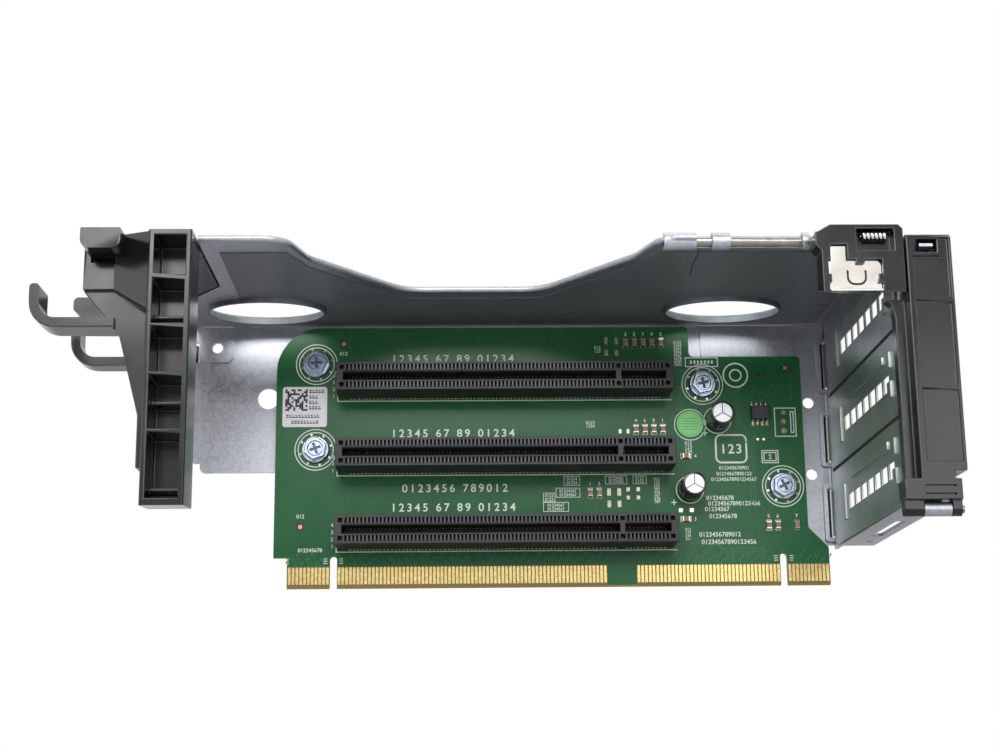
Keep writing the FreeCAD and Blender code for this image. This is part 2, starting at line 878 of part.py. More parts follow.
nodes.append(board)


# Card socket: keyed mouth between two rows of contact pockets, with blank pockets at the row ends
socket = new_body("slot_connector_1")
pad(socket, polygon(socket, "XZ_Plane", "0", rectangle("socket_left", "socket_low", "socket_right",
                                                       "socket_high")),
    "slot_high")
for left, right in (("first_pin - mouth_end", "key_mid - key_bar_wide / 2"),
                    ("key_mid + key_bar_wide / 2", "last_pin + mouth_end")):
    pocket(socket, polygon(socket, "XZ_Plane", "slot_high", rectangle(
        left, "slot_one_z - mouth_wide / 2", right, "slot_one_z + mouth_wide / 2")), "mouth_deep")
bevel_edges(socket, corner_edges(socket, along_x, ("0", "-slot_high", "slot_one_z - mouth_wide / 2"),
                                 ("0", "-slot_high", "slot_one_z + mouth_wide / 2")), "mouth_chamfer")
row_runs = (("first_pin", "key_mid - key_step / 2"), ("key_mid + key_step / 2", "last_pin"))
blank_mids = ("first_pin - key_step / 2", "key_mid", "last_pin + key_step / 2")
row_loops = []
for row_mid in ("slot_one_z - pocket_row", "slot_one_z + pocket_row"):
    for middle in blank_mids:
        row_loops.append(rectangle(f"{middle} - blank_pocket / 2", f"{row_mid} - blank_pocket / 2",
                                   f"{middle} + blank_pocket / 2", f"{row_mid} + blank_pocket / 2"))
    for first, last in row_runs:
        row_loops.append(rectangle(f"{first} - pocket_wide / 2", f"{row_mid} - pocket_high / 2",
                                   f"{last} + pocket_wide / 2", f"{row_mid} + pocket_high / 2"))
pocket(socket, polygon(socket, "XZ_Plane", "slot_high", *row_loops), "pocket_deep")
for low in ("socket_low", "socket_high - foot_high"):
    gap_sketch = polygon(socket, "XZ_Plane", "0", rectangle(
        "socket_left + foot_wide", low, "socket_left + foot_step", f"{low} + foot_high"))
    first_gap = pocket(socket, gap_sketch, "foot_rise", backwards=True)
    repeat(socket, [first_gap], gap_sketch, "H_Axis", "feet_gaps", "foot_step")
nodes.append(socket)
copy_of("slot_connector_2", socket, "-slot_pitch")
copy_of("slot_connector_3", socket, "-2 * slot_pitch")


# Folded panel: the wall behind the board, the slot panel and its seat flange, with bent corners
panel = new_body("side_panel")
pad(panel, polygon(panel, "XZ_Plane", "-panel_back", [
    ("panel_left + panel_corner_cut", "panel_low_left"),
    ("panel_slope_x", "panel_low_left"),
    ("panel_slope_end_x", "board_slope_top"),
    ("board_right", "board_slope_top"),
    ("board_right + board_slope_top - panel_low_right", "panel_low_right"),
    ("panel_right", "panel_low_right"),
    ("panel_right", "flange_top"),
    ("panel_left", "flange_top"),
    ("panel_left", "panel_low_left + panel_corner_cut"),
    ("panel_left + panel_corner_cut", "panel_low_left + panel_corner_cut"),
]), "sheet_thick")
round_edges(panel, corner_edges(panel, along_y, ("panel_left + panel_corner_cut", "0", "panel_low_left"),
                                ("panel_left", "0", "panel_low_left + panel_corner_cut")),
                                "panel_corner_round")
pad(panel, polygon(panel, "YZ_Plane", "slot_panel", rectangle(
    "seat_front", "foot_under", "panel_back", "flange_under")), "sheet_thick")
pad(panel, polygon(panel, "XZ_Plane", "-(seat_front + sheet_thick)", rectangle(
    "slot_panel", "foot_under", "seat_right", "flange_under")), "sheet_thick")
round_edges(panel, corner_edges(panel, along_z, ("panel_right", "panel_back", "0"),
                                ("slot_panel", "seat_front", "0")), "bend_inside + sheet_thick")
round_edges(panel, corner_edges(panel, along_z, ("slot_panel", "panel_front", "0"),
                                ("panel_right", "seat_front + sheet_thick", "0")), "bend_inside")

# Foot flange turned out below the slot panel, with a long slot and a small hole
pad(panel, polygon(panel, "XY_Plane", "foot_under", [
    ("slot_panel + bend_inside", "foot_tip"),
    ("foot_right", "foot_front"),
    ("foot_right", "-foot_back"),
    ("slot_panel + bend_inside", "-foot_back"),
]), "sheet_thick")
foot_slot_ends = [("foot_slot_x", "-foot_slot_front"), ("foot_slot_x", "-foot_slot_back")]
pocket(panel, polygon(panel, "XY_Plane", "foot_under + sheet_thick", rectangle(
    "foot_slot_x - foot_slot_wide / 2", "-foot_slot_front", "foot_slot_x + foot_slot_wide / 2",
    "-foot_slot_back")),
    "sheet_thick")
pocket(panel, circles(panel, "XY_Plane", "foot_under + sheet_thick", foot_slot_ends, "foot_slot_wide / 2"),
       "sheet_thick")
pocket(panel, circles(panel, "XY_Plane", "foot_under + sheet_thick", [("foot_hole_x", "-foot_hole_y")],
                      "foot_hole_r"), "sheet_thick")

# One window behind each cover's vents, and one rimmed slot for each cover's tongue
for step in range(3):
    line = f"(slot_line_one - {step} * slot_pitch)"
    rim_low = f"{line} + tongue_low - tongue_clear"
    rim_high = f"{line} + tongue_low + tongue_high + tongue_clear"
    pocket(panel, polygon(panel, "YZ_Plane", "panel_right", rectangle(
        "window_front", f"{line} + window_low", "-window_back", f"{line} + window_low + window_high")),
        "sheet_thick")
    pocket(panel, polygon(panel, "XZ_Plane", "-(panel_front - bend_inside)", rectangle(
        "rim_left", rim_low, "slot_panel + tongue_clear", rim_high)), "sheet_thick + bend_inside")
    pad(panel, polygon(panel, "XZ_Plane", "-panel_front", [
        ("slot_panel", f"{rim_low} - rim_wide"),
        ("slot_panel", rim_low),
        ("rim_left", rim_low),
        ("rim_left", rim_high),
        ("slot_panel", rim_high),
        ("slot_panel", f"{rim_high} + rim_wide"),
        ("rim_left - rim_wide / 2", f"{rim_high} + rim_wide"),
        ("rim_left - rim_wide", f"{rim_high} + rim_wide / 2"),
        ("rim_left - rim_wide", f"{rim_low} - rim_wide / 2"),
        ("rim_left - rim_wide / 2", f"{rim_low} - rim_wide"),
    ]), "rim_proud")

# Holes in the wall, and the notch that takes the card guide's arm
pocket(panel, circles(panel, "XZ_Plane", "-panel_front", screw_places, "screw_hole_r"), "sheet_thick")
pocket(panel, circles(panel, "XZ_Plane", "-panel_front", [
    ("panel_hole_x", "panel_hole_upper"),
    ("panel_hole_x", "panel_hole_lower"),
    ("tab_hole_x", "tab_hole_z"),
], "panel_hole_r"), "sheet_thick")
pocket(panel, circles(panel, "XZ_Plane", "-panel_front", [("panel_big_hole_x", "panel_big_hole_z")],
                      "panel_big_hole_r"), "sheet_thick")
pocket(panel, polygon(panel, "XZ_Plane", "-panel_front", rectangle(
    "panel_left - guide_clear", "arm_low - guide_clear", "panel_left + arm_thick",
    "arm_top + guide_clear")),
    "sheet_thick")

# Knuckle curled from a strip below the seat, and the snap tab that the latch bar clips over
pad(panel, polygon(panel, "YZ_Plane", "hinge_left", [
    ("seat_front", "foot_under + sheet_thick"),
    ("seat_front", "hinge_z + sheet_thick / 2"),
    ("hinge_y", "hinge_z + sheet_thick / 2"),
    ("hinge_y", "hinge_z - sheet_thick / 2"),
    ("seat_front + sheet_thick", "hinge_z - sheet_thick / 2"),
    ("seat_front + sheet_thick", "foot_under + sheet_thick"),
]), "hinge_wide")
pad(panel, circles(panel, "YZ_Plane", "hinge_left", [("hinge_y", "hinge_z")], "hinge_knuckle_r"),
    "hinge_wide")
pocket(panel, circles(panel, "YZ_Plane", "hinge_right", [("hinge_y", "hinge_z")], "hinge_pin_r"),
       "hinge_wide")
pad(panel, polygon(panel, "XY_Plane", "snap_mid_z - sheet_thick / 2", rectangle(
    "snap_left", "snap_tip", "snap_right", "seat_front + sheet_thick")), "sheet_thick")
nodes.append(panel)


# Top flange: plate with a swept-back front edge, rounded at each turn of its path
flange = new_body("top_flange")
front_path = [
    ("guide_cut_x", "hem_line"),
    ("path_left_x", "hem_line"),
    ("path_left_mid_x", "path_left_y"),
    ("path_left_end_x", "-flange_mid_front"),
    ("path_right_end_x", "-flange_mid_front"),
    ("path_right_mid_x", "path_right_y"),
    ("path_right_x", "hem_line"),
    ("curl_first_end", "hem_line"),
]
pad(flange, polygon(flange, "XY_Plane", "flange_under", front_path + [
    ("curl_first_end", "rod_edge"),
    ("panel_right", "rod_edge"),
    ("panel_right", "panel_front"),
    ("panel_left", "panel_front"),
    ("panel_left", "cut_left_y"),
    ("guide_cut_x", "cut_front_y"),
]), "sheet_thick")
for picks, radius in (((1, 6), "path_outer_round"), ((2, 5), "path_mid_round"),
                      ((3, 4), "path_inner_round")):
    round_edges(flange, corner_edges(flange, along_z, *[(*front_path[pick], "0") for pick in picks]),
                radius)


# The hem folds the sheet back over itself round a full nose radius along the whole swept edge
def on_front_path(edge):
    ends = [vertex.Point for vertex in edge.Vertexes]
    on_top = all(abs(end.z - amount("flange_top")) < near for end in ends)
    ahead = all(end.y < amount("-flange_mid_front") + near for end in ends)
    between = all(amount("guide_cut_x") - near < end.x < amount("curl_first_end") + near for end in ends)
    return on_top and ahead and between and abs(ends[0].x - ends[1].x) > near


hem_spine = (flange.Tip, edges_where(flange, on_front_path))
hem_profile = new_sketch(flange, "YZ_Plane", "guide_cut_x")
hem_corners = [
    ("hem_line", "flange_top + sheet_thick"),
    ("hem_line + hem_wide", "flange_top + sheet_thick"),
    ("hem_line + hem_wide", "flange_top"),
    ("hem_line", "flange_top"),
    ("hem_line", "flange_under"),
]
hem_points = [FreeCAD.Vector(amount(across), amount(up), 0) for across, up in hem_corners]
nose_point = FreeCAD.Vector(amount("hem_line - sheet_thick"), amount("flange_top"), 0)
last_line = len(hem_points) - 2
for start, end in zip(hem_points, hem_points[1:]):
    hem_profile.addGeometry(Part.LineSegment(start, end), False)
nose = hem_profile.addGeometry(Part.Arc(hem_points[0], nose_point, hem_points[-1]), False)
for line in range(last_line):
    hem_profile.addConstraint(Sketcher.Constraint("Coincident", line, 2, line + 1, 1))
for line, corner in enumerate(hem_corners[:-1]):
    fix_point(hem_profile, line, 1, corner)
fix_point(hem_profile, last_line, 2, hem_corners[-1])
hem_profile.addConstraint(Sketcher.Constraint("Coincident", nose, 1, 0, 1))
hem_profile.addConstraint(Sketcher.Constraint("Coincident", nose, 2, last_line, 2))
constrain(hem_profile, "hem_line", "DistanceX", -1, 1, nose, 3)
hem = flange.newObject("PartDesign::AdditivePipe", "hem")
hem.Profile = hem_profile
hem.Spine = hem_spine
settle(hem)


# Finger holes with a lip turned down all round
def hole_rims(edge):
    top_edge = all(abs(vertex.Z - amount("flange_top")) < near for vertex in edge.Vertexes)
    return top_edge and isinstance(edge.Curve, Part.Ellipse)


for hole_x in ("hole_left_x", "hole_right_x"):
    middle = (hole_x, "-hole_mid")
    pad(flange, ellipse(flange, "flange_under - hole_lip_deep", middle,
                        "hole_half_long + sheet_thick", "hole_half_wide + sheet_thick"), "hole_lip_deep")
    pocket(flange, ellipse(flange, "flange_top", middle, "hole_half_long", "hole_half_wide"),
           "sheet_thick + hole_lip_deep")
bevel_edges(flange, edges_where(flange, hole_rims), "hole_lip_bevel")

# Tabs folded down over the panel
for left, right in (("left_tab_left", "left_tab_right"), ("right_tab_left", "right_tab_right")):
    pad(flange, polygon(flange, "XZ_Plane", "-panel_front",
                        rectangle(left, "tab_low", right, "flange_top")),
        "sheet_thick")
    round_edges(flange, corner_edges(flange, along_y, (left, "0", "tab_low"), (right, "0", "tab_low")),
                "tab_round")
round_edges(flange, corner_edges(flange, along_x, ("0", "panel_front - sheet_thick", "flange_under")),
            "bend_inside")
pocket(flange, circles(flange, "XZ_Plane", "-(panel_front - sheet_thick)", [("tab_hole_x", "tab_hole_z")],
                       "panel_hole_r"), "sheet_thick")

# Curls rolled round the rod
curls = (("path_right_x", "curl_first_end"), ("curl_second_left", "curl_second_right"),
         ("curl_third_left", "curl_third_right"))
for left, right in curls:
    pad(flange, polygon(flange, "YZ_Plane", left, rectangle("rod_y", "flange_under", "rod_edge + curl_lap",
                                                            "flange_top")), f"{right} - {left}")
    pad(flange, circles(flange, "YZ_Plane", left, [("rod_y", "rod_z")], "rod_r + run_clear + sheet_thick"),
        f"{right} - {left}")
for left, right in curls:
    pocket(flange, circles(flange, "YZ_Plane", right, [("rod_y", "rod_z")], "rod_r + run_clear"),
           f"{right} - {left}")
nodes.append(flange)


# Film stuck under the flange, cut round the lips and kept clear of the hem
film = new_body("insulator_film")
pad(film, polygon(film, "XY_Plane", "flange_under - film_thick", [
    ("film_left", "film_front"),
    ("path_left_x", "film_front"),
    ("path_left_mid_x", "path_left_y + film_margin"),
    ("path_left_end_x", "film_margin - flange_mid_front"),
    ("path_right_end_x", "film_margin - flange_mid_front"),
    ("path_right_mid_x", "path_right_y + film_margin"),
    ("path_right_x", "film_front"),
    ("film_right", "film_front"),
    ("film_right", "film_back"),
    ("film_left", "film_back"),
]), "film_thick")
for hole_x in ("hole_left_x", "hole_right_x"):
    pocket(film, ellipse(film, "flange_under", (hole_x, "-hole_mid"), "hole_half_long + film_hole_margin",
                         "hole_half_wide + film_hole_margin"), "film_thick")
nodes.append(film)


# Vented slot cover: plate with vents, a stiffening bead, a bent seat tab and a tongue
cover = new_body("slot_cover_1")
pad(cover, polygon(cover, "YZ_Plane", "cover_inner", [
    ("cover_front", "cover_low"),
    ("cover_back", "cover_low"),
    ("cover_back", "tongue_under"),
    ("tongue_end", "tongue_under"),
    ("tongue_end", "tongue_top"),
    ("cover_back", "tongue_top"),
    ("cover_back", "cover_high"),
    ("cover_front", "cover_high"),
]), "cover_thick")
pad(cover, polygon(cover, "XZ_Plane", "-seat_front", rectangle(
    "cover_inner", "cover_low", "cover_tab_right", "cover_low + cover_tab_high")), "cover_thick")
round_edges(cover, corner_edges(cover, along_z, ("cover_inner", "cover_front", "0")),
            "cover_thick - run_clear")
vent_sketch = polygon(cover, "YZ_Plane", "slot_panel", rectangle(
    "-vent_first - vent_long", "slot_line_one + vent_low", "-vent_first",
    "slot_line_one + vent_low + vent_high"))
first_vent = pocket(cover, vent_sketch, "cover_thick")
repeat(cover, [first_vent], vent_sketch, "H_Axis", "vent_count", "vent_pitch", backwards=True)
for back, front, low, high in (
        ("-bead_back", "bead_front", "bead_low", "bead_high"),
        ("-end_bead_back", "-end_bead_back - end_bead_long", "end_bead_low", "end_bead_high"),
        ("dimple_back", "dimple_back - dimple_long", "dimple_upper", "dimple_high"),
        ("dimple_back", "dimple_back - dimple_long", "dimple_lower", "dimple_high")):
    pad(cover, polygon(cover, "YZ_Plane", "cover_inner - bead_proud", rectangle(
        front, f"slot_line_one + {low}", back, f"slot_line_one + {low} + {high}")), "bead_proud")
nodes.append(cover)
copy_of("slot_cover_2", cover, "-slot_pitch")
copy_of("slot_cover_3", cover, "-2 * slot_pitch")


# Card guide column: channel with ribs across it and shallower ledges between them
guide = new_body("card_guide")
pad(guide, polygon(guide, "XZ_Plane", "-guide_back", rectangle(
    "guide_left", "guide_low", "guide_right", "guide_top")), "guide_deep")
round_edges(guide, corner_edges(guide, along_z, ("guide_left", "guide_front", "0"),
                                ("guide_right", "guide_front", "0")),
            "guide_round")
pocket(guide, polygon(guide, "XZ_Plane", "-guide_front", rectangle(
    "guide_left + guide_wall", "guide_low + guide_foot_wall", "guide_right - guide_wall",
    "guide_top - guide_wall")),
    "guide_deep - guide_floor")
pocket(guide, polygon(guide, "YZ_Plane", "guide_right", [
    ("guide_front", "guide_low"),
    ("guide_back", "guide_low"),
    ("guide_back", "guide_low + guide_foot_slant"),
]), "guide_wide")
for rib in ("rib_top", "rib_top - rib_pitch", "rib_top - 2 * rib_pitch", "rib_low"):
    pad(guide, polygon(guide, "XZ_Plane", "-guide_back", rectangle(
        "guide_left + guide_round", rib, "guide_right - guide_round", f"{rib} + rib_thick")), "guide_deep")
for ledge in ("ledge_upper", "ledge_lower", "ledge_foot"):
    pad(guide, polygon(guide, "XZ_Plane", "-guide_back", rectangle(
        "guide_left + guide_round", ledge, "guide_right - guide_round", f"{ledge} + rib_thick")),
        "guide_deep - ledge_recess")

# Shoulder block: tapered skirt set back under it, hollow from the back, with a slanted gusset to the column
pad(guide, polygon(guide, "XZ_Plane", "-guide_back", [
    ("guide_left", "wing_top"),
    ("wing_left", "wing_top"),
    ("wing_left", "wing_ledge"),
    ("wing_taper_x", "wing_taper_z"),
    ("wing_low_x", "wing_low_z"),
    ("wing_low_x", "wing_foot_z"),
    ("guide_left", "wing_foot_z"),
]), "guide_back - wing_front - wing_step")
pad(guide, polygon(guide, "XZ_Plane", "-guide_back", rectangle(
    "wing_left", "wing_ledge", "guide_left", "wing_top")), "guide_back - wing_front")
pad(guide, polygon(guide, "XZ_Plane", "-wing_back", [
    ("guide_left", "wing_top"),
    ("wing_left", "wing_top"),
    ("wing_left", "wing_ledge"),
    ("wing_taper_x", "wing_taper_z"),
    ("guide_left", "wing_taper_z"),
]), "wing_back - guide_back")
pocket(guide, polygon(guide, "XZ_Plane", "-wing_back", [
    ("guide_left - wing_wall", "wing_top - wing_wall"),
    ("wing_left + wing_wall", "wing_top - wing_wall"),
    ("wing_left + wing_wall", "wing_ledge + wing_wall / 2"),
    ("wing_taper_x + wing_wall", "wing_taper_z + wing_wall"),
    ("guide_left - wing_wall", "wing_taper_z + wing_wall"),
]), "wing_back - wing_front - wing_step - wing_wall", backwards=True)
pad(guide, polygon(guide, "XY_Plane", "gusset_low", [
    ("gusset_x", "wing_front"),
    ("guide_left", "guide_front + guide_round"),
    ("guide_left", "wing_front + wing_step"),
    ("gusset_x", "wing_front + wing_step"),
]), "wing_top - gusset_low")
pocket(guide, polygon(guide, "XZ_Plane", "-guide_front", [
    ("gusset_x", "gusset_low"),
    ("guide_left", "gusset_low"),
    ("gusset_x", "wing_ledge"),
]), "guide_reach - wing_reach + wing_step")

# Finger grip with rounded corners, and the recess behind its lower edge
pad(guide, polygon(guide, "XZ_Plane", "-wing_front", rectangle(
    "grip_left", "grip_low", "grip_right", "grip_top")), "grip_reach")
round_edges(guide, corner_edges(guide, along_y, ("grip_left", "0", "grip_low"),
                                ("grip_right", "0", "grip_low")),
            "grip_round")
pocket(guide, polygon(guide, "XZ_Plane", "-wing_front", rectangle(
    "grip_left + wing_wall / 2", "grip_low - grip_recess_drop", "grip_right + grip_recess_drop / 2",
    "grip_low + grip_high / 2")), "wing_wall")

# Two cable hooks with rounded heels and tips, and a lug above the rear one
for name in ("front_hook", "rear_hook"):
    left, right, low, top = [f"{name}_{side}" for side in ("left", "right", "low", "top")]
    pad(guide, polygon(guide, "XZ_Plane", f"-({name}_front + {name}_deep)", [
        (left, low),
        (right, low),
        (right, f"{low} + hook_thick"),
        (f"{left} + hook_thick", f"{low} + hook_thick"),
        (f"{left} + hook_thick", top),
        (left, top),
    ]), f"{name}_deep")
    round_edges(guide, corner_edges(guide, along_y, (left, "0", low)), "hook_outer_round")
    round_edges(guide, corner_edges(guide, along_y, (f"{left} + hook_thick", "0", f"{low} + hook_thick")),
                "hook_outer_round - hook_thick")
    round_edges(guide, corner_edges(guide, along_y, (left, "0", top), (f"{left} + hook_thick", "0", top)),
                "hook_tip_round")
pad(guide, polygon(guide, "XZ_Plane", "-(rear_hook_front + rear_hook_deep)", rectangle(
    "lug_left", "lug_low", "wing_left", "lug_top")), "rear_hook_deep")
round_edges(guide, corner_edges(guide, along_y, ("lug_left", "0", "lug_low"), ("lug_left", "0", "lug_top")),
            "lug_round")

# The top plate fills the flange cut-out, its lip rests on the flange, and an arm snaps into the panel edge
pad(guide, polygon(guide, "XY_Plane", "flange_under", [
    ("arm_left", "guide_back - guide_floor"),
    ("guide_cut_x - guide_clear", "guide_back - guide_floor"),
    ("guide_cut_x - guide_clear", "cut_front_y - guide_clear"),
    ("arm_right", "cut_left_y - guide_clear"),
    ("arm_left", "cut_left_y - guide_clear"),
]), "sheet_thick")
pad(guide, polygon(guide, "XY_Plane", "flange_top", [
    ("arm_left", "guide_back"),
    ("guide_cut_x + guide_lip", "guide_back"),
    ("guide_cut_x + guide_lip", "cut_front_y + guide_lip / 2"),
    ("arm_right", "cut_left_y + guide_lip"),
    ("arm_left", "cut_left_y + guide_lip"),
]), "guide_lip_thick")
pad(guide, polygon(guide, "YZ_Plane", "arm_left", [
    ("wing_back - wing_wall", "arm_low"),
    ("arm_back", "arm_low"),
    ("arm_back", "arm_top"),
    ("cut_left_y - guide_clear", "arm_top"),
    ("cut_left_y - guide_clear", "flange_top"),
    ("wing_back - wing_wall", "flange_top"),
]), "arm_thick")
pad(guide, polygon(guide, "XZ_Plane", "-arm_back", rectangle(
    "arm_left", "arm_low", "panel_left + arm_thick - guide_clear", "arm_top")), "arm_thick")
nodes.append(guide)


# Upper latch block: front body with a slanted ear, and a barrel round the rod
block = new_body("latch_block")
pad(block, polygon(block, "XZ_Plane", "-block_back", [
    ("block_left", "block_low"),
    ("block_right", "block_low"),
    ("block_right", "window_top_z"),
    ("block_right - block_cap", "block_top"),
    ("clip_leg_left", "block_top"),
    ("block_left - block_ear", "window_top_z - block_cap"),
    ("block_left - block_ear", "window_low_z + block_ear"),
    ("block_left", "window_low_z"),
]), "block_back - block_front")
pocket(block, polygon(block, "YZ_Plane", "block_right", [
    ("block_front", "block_low"),
    ("block_back", "block_low"),
    ("block_back", "block_low + block_foot_slant"),
]), "block_wide")
pad(block, polygon(block, "YZ_Plane", "cheek_left", [
    ("block_back", "rod_z - 2 * block_barrel_r"),
    ("rod_y", "rod_z - block_barrel_r"),
    ("rod_y", "rod_z + block_barrel_r"),
    ("block_back", "block_top"),
]), "cheek_right - cheek_left")
pad(block, circles(block, "YZ_Plane", "cheek_left", [("rod_y", "rod_z")], "block_barrel_r"),
    "cheek_right - cheek_left")
pocket(block, circles(block, "YZ_Plane", "rod_right + run_clear", [("rod_y", "rod_z")],
                      "rod_r + run_clear"),
       "rod_right + run_clear - cheek_left")

# Window for the spring, recess for the clip plate and the three fingers that hold it
pocket(block, polygon(block, "XZ_Plane", "-block_front", rectangle(
    "window_left_x", "window_low_z", "window_right_x", "window_top_z")), "block_window_deep")
pocket(block, polygon(block, "XZ_Plane", "-block_front", [
    ("clip_left - clip_clear", "block_low - clip_clear"),
    ("clip_right + clip_clear", "block_low - clip_clear"),
    ("clip_right + clip_clear", "clip_top + clip_clear"),
    ("clip_leg_right + clip_clear", "clip_top + clip_clear"),
    ("clip_leg_right + clip_clear", "clip_leg_top + clip_clear"),
    ("clip_leg_left - clip_clear", "clip_leg_top + clip_clear"),
    ("clip_leg_left - clip_clear", "clip_top + clip_clear"),
    ("clip_left - clip_clear", "clip_top + clip_clear"),
]), "block_recess_deep")
fingers = [
    ("clip_tongue_right - finger_wide", "clip_top - finger_lap", "clip_tongue_right",
     "clip_top + finger_root"),
    ("clip_left - finger_root", "clip_tongue_low", "clip_left + finger_lap / 2",
     "clip_tongue_low + finger_wide"),
    ("clip_right - finger_lap", "clip_tongue_low", "clip_right + finger_root",
     "clip_tongue_low + finger_wide"),
]
for finger in fingers:
    pad(block, polygon(block, "XZ_Plane", "-(block_front + finger_high)", rectangle(*finger)),
        "finger_high")
nodes.append(block)


# Clip plate with an upright leg, a pressed tongue and a turned-out lower lip
clip = new_body("latch_clip_plate")
pad(clip, polygon(clip, "XZ_Plane", "-recess_floor", [
    ("clip_left", "clip_low"),
    ("clip_right", "clip_low"),
    ("clip_right", "clip_top"),
    ("clip_leg_right", "clip_top"),
    ("clip_leg_right", "clip_leg_top"),
    ("clip_leg_left", "clip_leg_top"),
    ("clip_leg_left", "clip_top"),
    ("clip_left", "clip_top"),
]), "clip_thick")
round_edges(clip, corner_edges(clip, along_y, ("clip_right", "0", "clip_top")), "clip_round")
pocket(clip, polygon(clip, "XZ_Plane", "-(recess_floor - clip_thick)", [
    ("clip_tongue_left - clip_slit", "clip_tongue_low - clip_slit"),
    ("clip_tongue_right + clip_slit", "clip_tongue_low - clip_slit"),
    ("clip_tongue_right + clip_slit", "clip_tongue_top"),
    ("clip_tongue_right", "clip_tongue_top"),
    ("clip_tongue_right", "clip_tongue_low"),
    ("clip_tongue_left", "clip_tongue_low"),
    ("clip_tongue_left", "clip_tongue_top"),
    ("clip_tongue_left - clip_slit", "clip_tongue_top"),
]), "clip_thick")
round_edges(clip, corner_edges(clip, along_y, ("clip_tongue_left - clip_slit", "0",
                                               "clip_tongue_low - clip_slit"),
                               ("clip_tongue_right + clip_slit", "0", "clip_tongue_low - clip_slit")),
            "clip_tongue_wide / 2")
round_edges(clip, corner_edges(clip, along_y, ("clip_tongue_left", "0", "clip_tongue_low"),
                               ("clip_tongue_right", "0", "clip_tongue_low")),
                               "clip_tongue_wide / 2 - clip_slit")
pad(clip, polygon(clip, "XY_Plane", "clip_low", rectangle(
    "clip_left", "block_front - clip_thick", "clip_right", "recess_floor")), "clip_thick")
nodes.append(clip)


# Rod that the block turns on
keep("latch_rod", rod_along("latch_rod", "x", "rod_r", "rod_long", ("rod_left", "rod_y", "rod_z")))


# Short spring of two coil drums with a waist between them, seated on the floor of the block's window
spring = new_body("latch_spring")
turned(spring, polygon(spring, "XY_Plane", "spring_z", [
    ("spring_left", "0"),
    ("spring_left", "spring_r"),
    ("spring_mid - spring_waist", "spring_r"),
    ("spring_mid - spring_waist", "spring_r - spring_waist"),
    ("spring_mid + spring_waist", "spring_r - spring_waist"),
    ("spring_mid + spring_waist", "spring_r"),
    ("spring_right", "spring_r"),
    ("spring_right", "0"),
], along_plane="block_front + block_window_deep - spring_r"), "H_Axis")
nodes.append(spring)


# Lower latch bar: shell open at the back, with a bevelled top and a recessed face between cross ribs
bar = new_body("latch_bar")
pad(bar, polygon(bar, "XZ_Plane", "-bar_back", [
    ("bar_left", "bar_foot_top"),
    ("bar_step_x", "bar_foot_top"),
    ("bar_step_x", "bar_step_z"),
    ("bar_right", "bar_step_z"),
    ("bar_right", "bar_top"),
    ("bar_left", "bar_top"),
]), "bar_back - bar_front")
bevel_edges(bar, corner_edges(bar, along_x, ("0", "bar_front", "bar_top")), "bar_top_bevel")
pocket(bar, polygon(bar, "XZ_Plane", "-bar_back", rectangle(
    "bar_left + bar_wall", "bar_step_z + bar_wall", "bar_right - bar_wall", "bar_top - bar_wall")),
    "bar_back - bar_front - bar_wall - bar_panel_recess", backwards=True)
rib_lines = ("bar_step_z + bar_wall", "bar_rib_lower", "bar_rib_upper", "bar_window_top + bar_frame / 2")
for low, high in zip(rib_lines, rib_lines[1:]):
    pocket(bar, polygon(bar, "XZ_Plane", "-bar_front", rectangle(
        "bar_left + bar_left_rib", f"{low} + bar_rib_thick", "bar_right - bar_rib_thick", high)),
        "bar_panel_recess")

# Side web over the cover ends, flared at its top under the upper block
pad(bar, polygon(bar, "XZ_Plane", "-bar_back", [
    ("bar_web_left", "bar_foot_low"),
    ("bar_left", "bar_foot_low"),
    ("bar_left", "bar_web_top"),
    ("bar_web_left - bar_web_flare", "bar_web_top"),
    ("bar_web_left - bar_web_flare / 3", "bar_web_top - bar_web_flare_high / 4"),
    ("bar_web_left", "bar_web_top - bar_web_flare_high"),
]), "bar_web_deep")

# Window for the snap tab, in a frame that stands on the floor of the top panel
pocket(bar, polygon(bar, "XZ_Plane", "-bar_front", rectangle(
    "bar_window_left", "bar_window_low", "bar_window_right", "bar_window_top")), "bar_back - bar_front")
pad(bar, polygon(bar, "XZ_Plane", "-(bar_front + bar_panel_recess)", rectangle(
    "bar_window_left - bar_frame", "bar_window_low - bar_frame", "bar_window_right + bar_frame",
    "bar_window_top + bar_frame / 2"), rectangle(
    "bar_window_left", "bar_window_low", "bar_window_right", "bar_window_top")),
    "bar_panel_recess + bar_frame_proud")

# Foot with two slits in its face and a barrel each side of the panel's knuckle
pad(bar, polygon(bar, "XZ_Plane", "-bar_foot_back", rectangle(
    "bar_foot_left", "bar_foot_low", "bar_foot_right", "bar_foot_top")), "bar_foot_back - bar_front")
for slit in ("bar_foot_top - bar_wall", "bar_foot_low + bar_wall"):
    pocket(bar, polygon(bar, "XZ_Plane", "-bar_front", rectangle(
        "hinge_left", f"{slit} - foot_slit_wide", "bar_foot_right - bar_wall", slit)), "foot_slit_deep")
for left, right in (("bar_foot_left", "hinge_left - hinge_side_clear"),
                    ("hinge_right + hinge_side_clear", "bar_foot_right")):
    width = f"({right}) - ({left})"
    pad(bar, polygon(bar, "YZ_Plane", left, rectangle(
        "hinge_y - hinge_knuckle_r", "hinge_z", "hinge_y + hinge_knuckle_r", "bar_foot_top")), width)
    pad(bar, circles(bar, "YZ_Plane", left, [("hinge_y", "hinge_z")], "hinge_knuckle_r"), width)
    pocket(bar, circles(bar, "YZ_Plane", right, [("hinge_y", "hinge_z")], "hinge_pin_r + run_clear"), width)
nodes.append(bar)


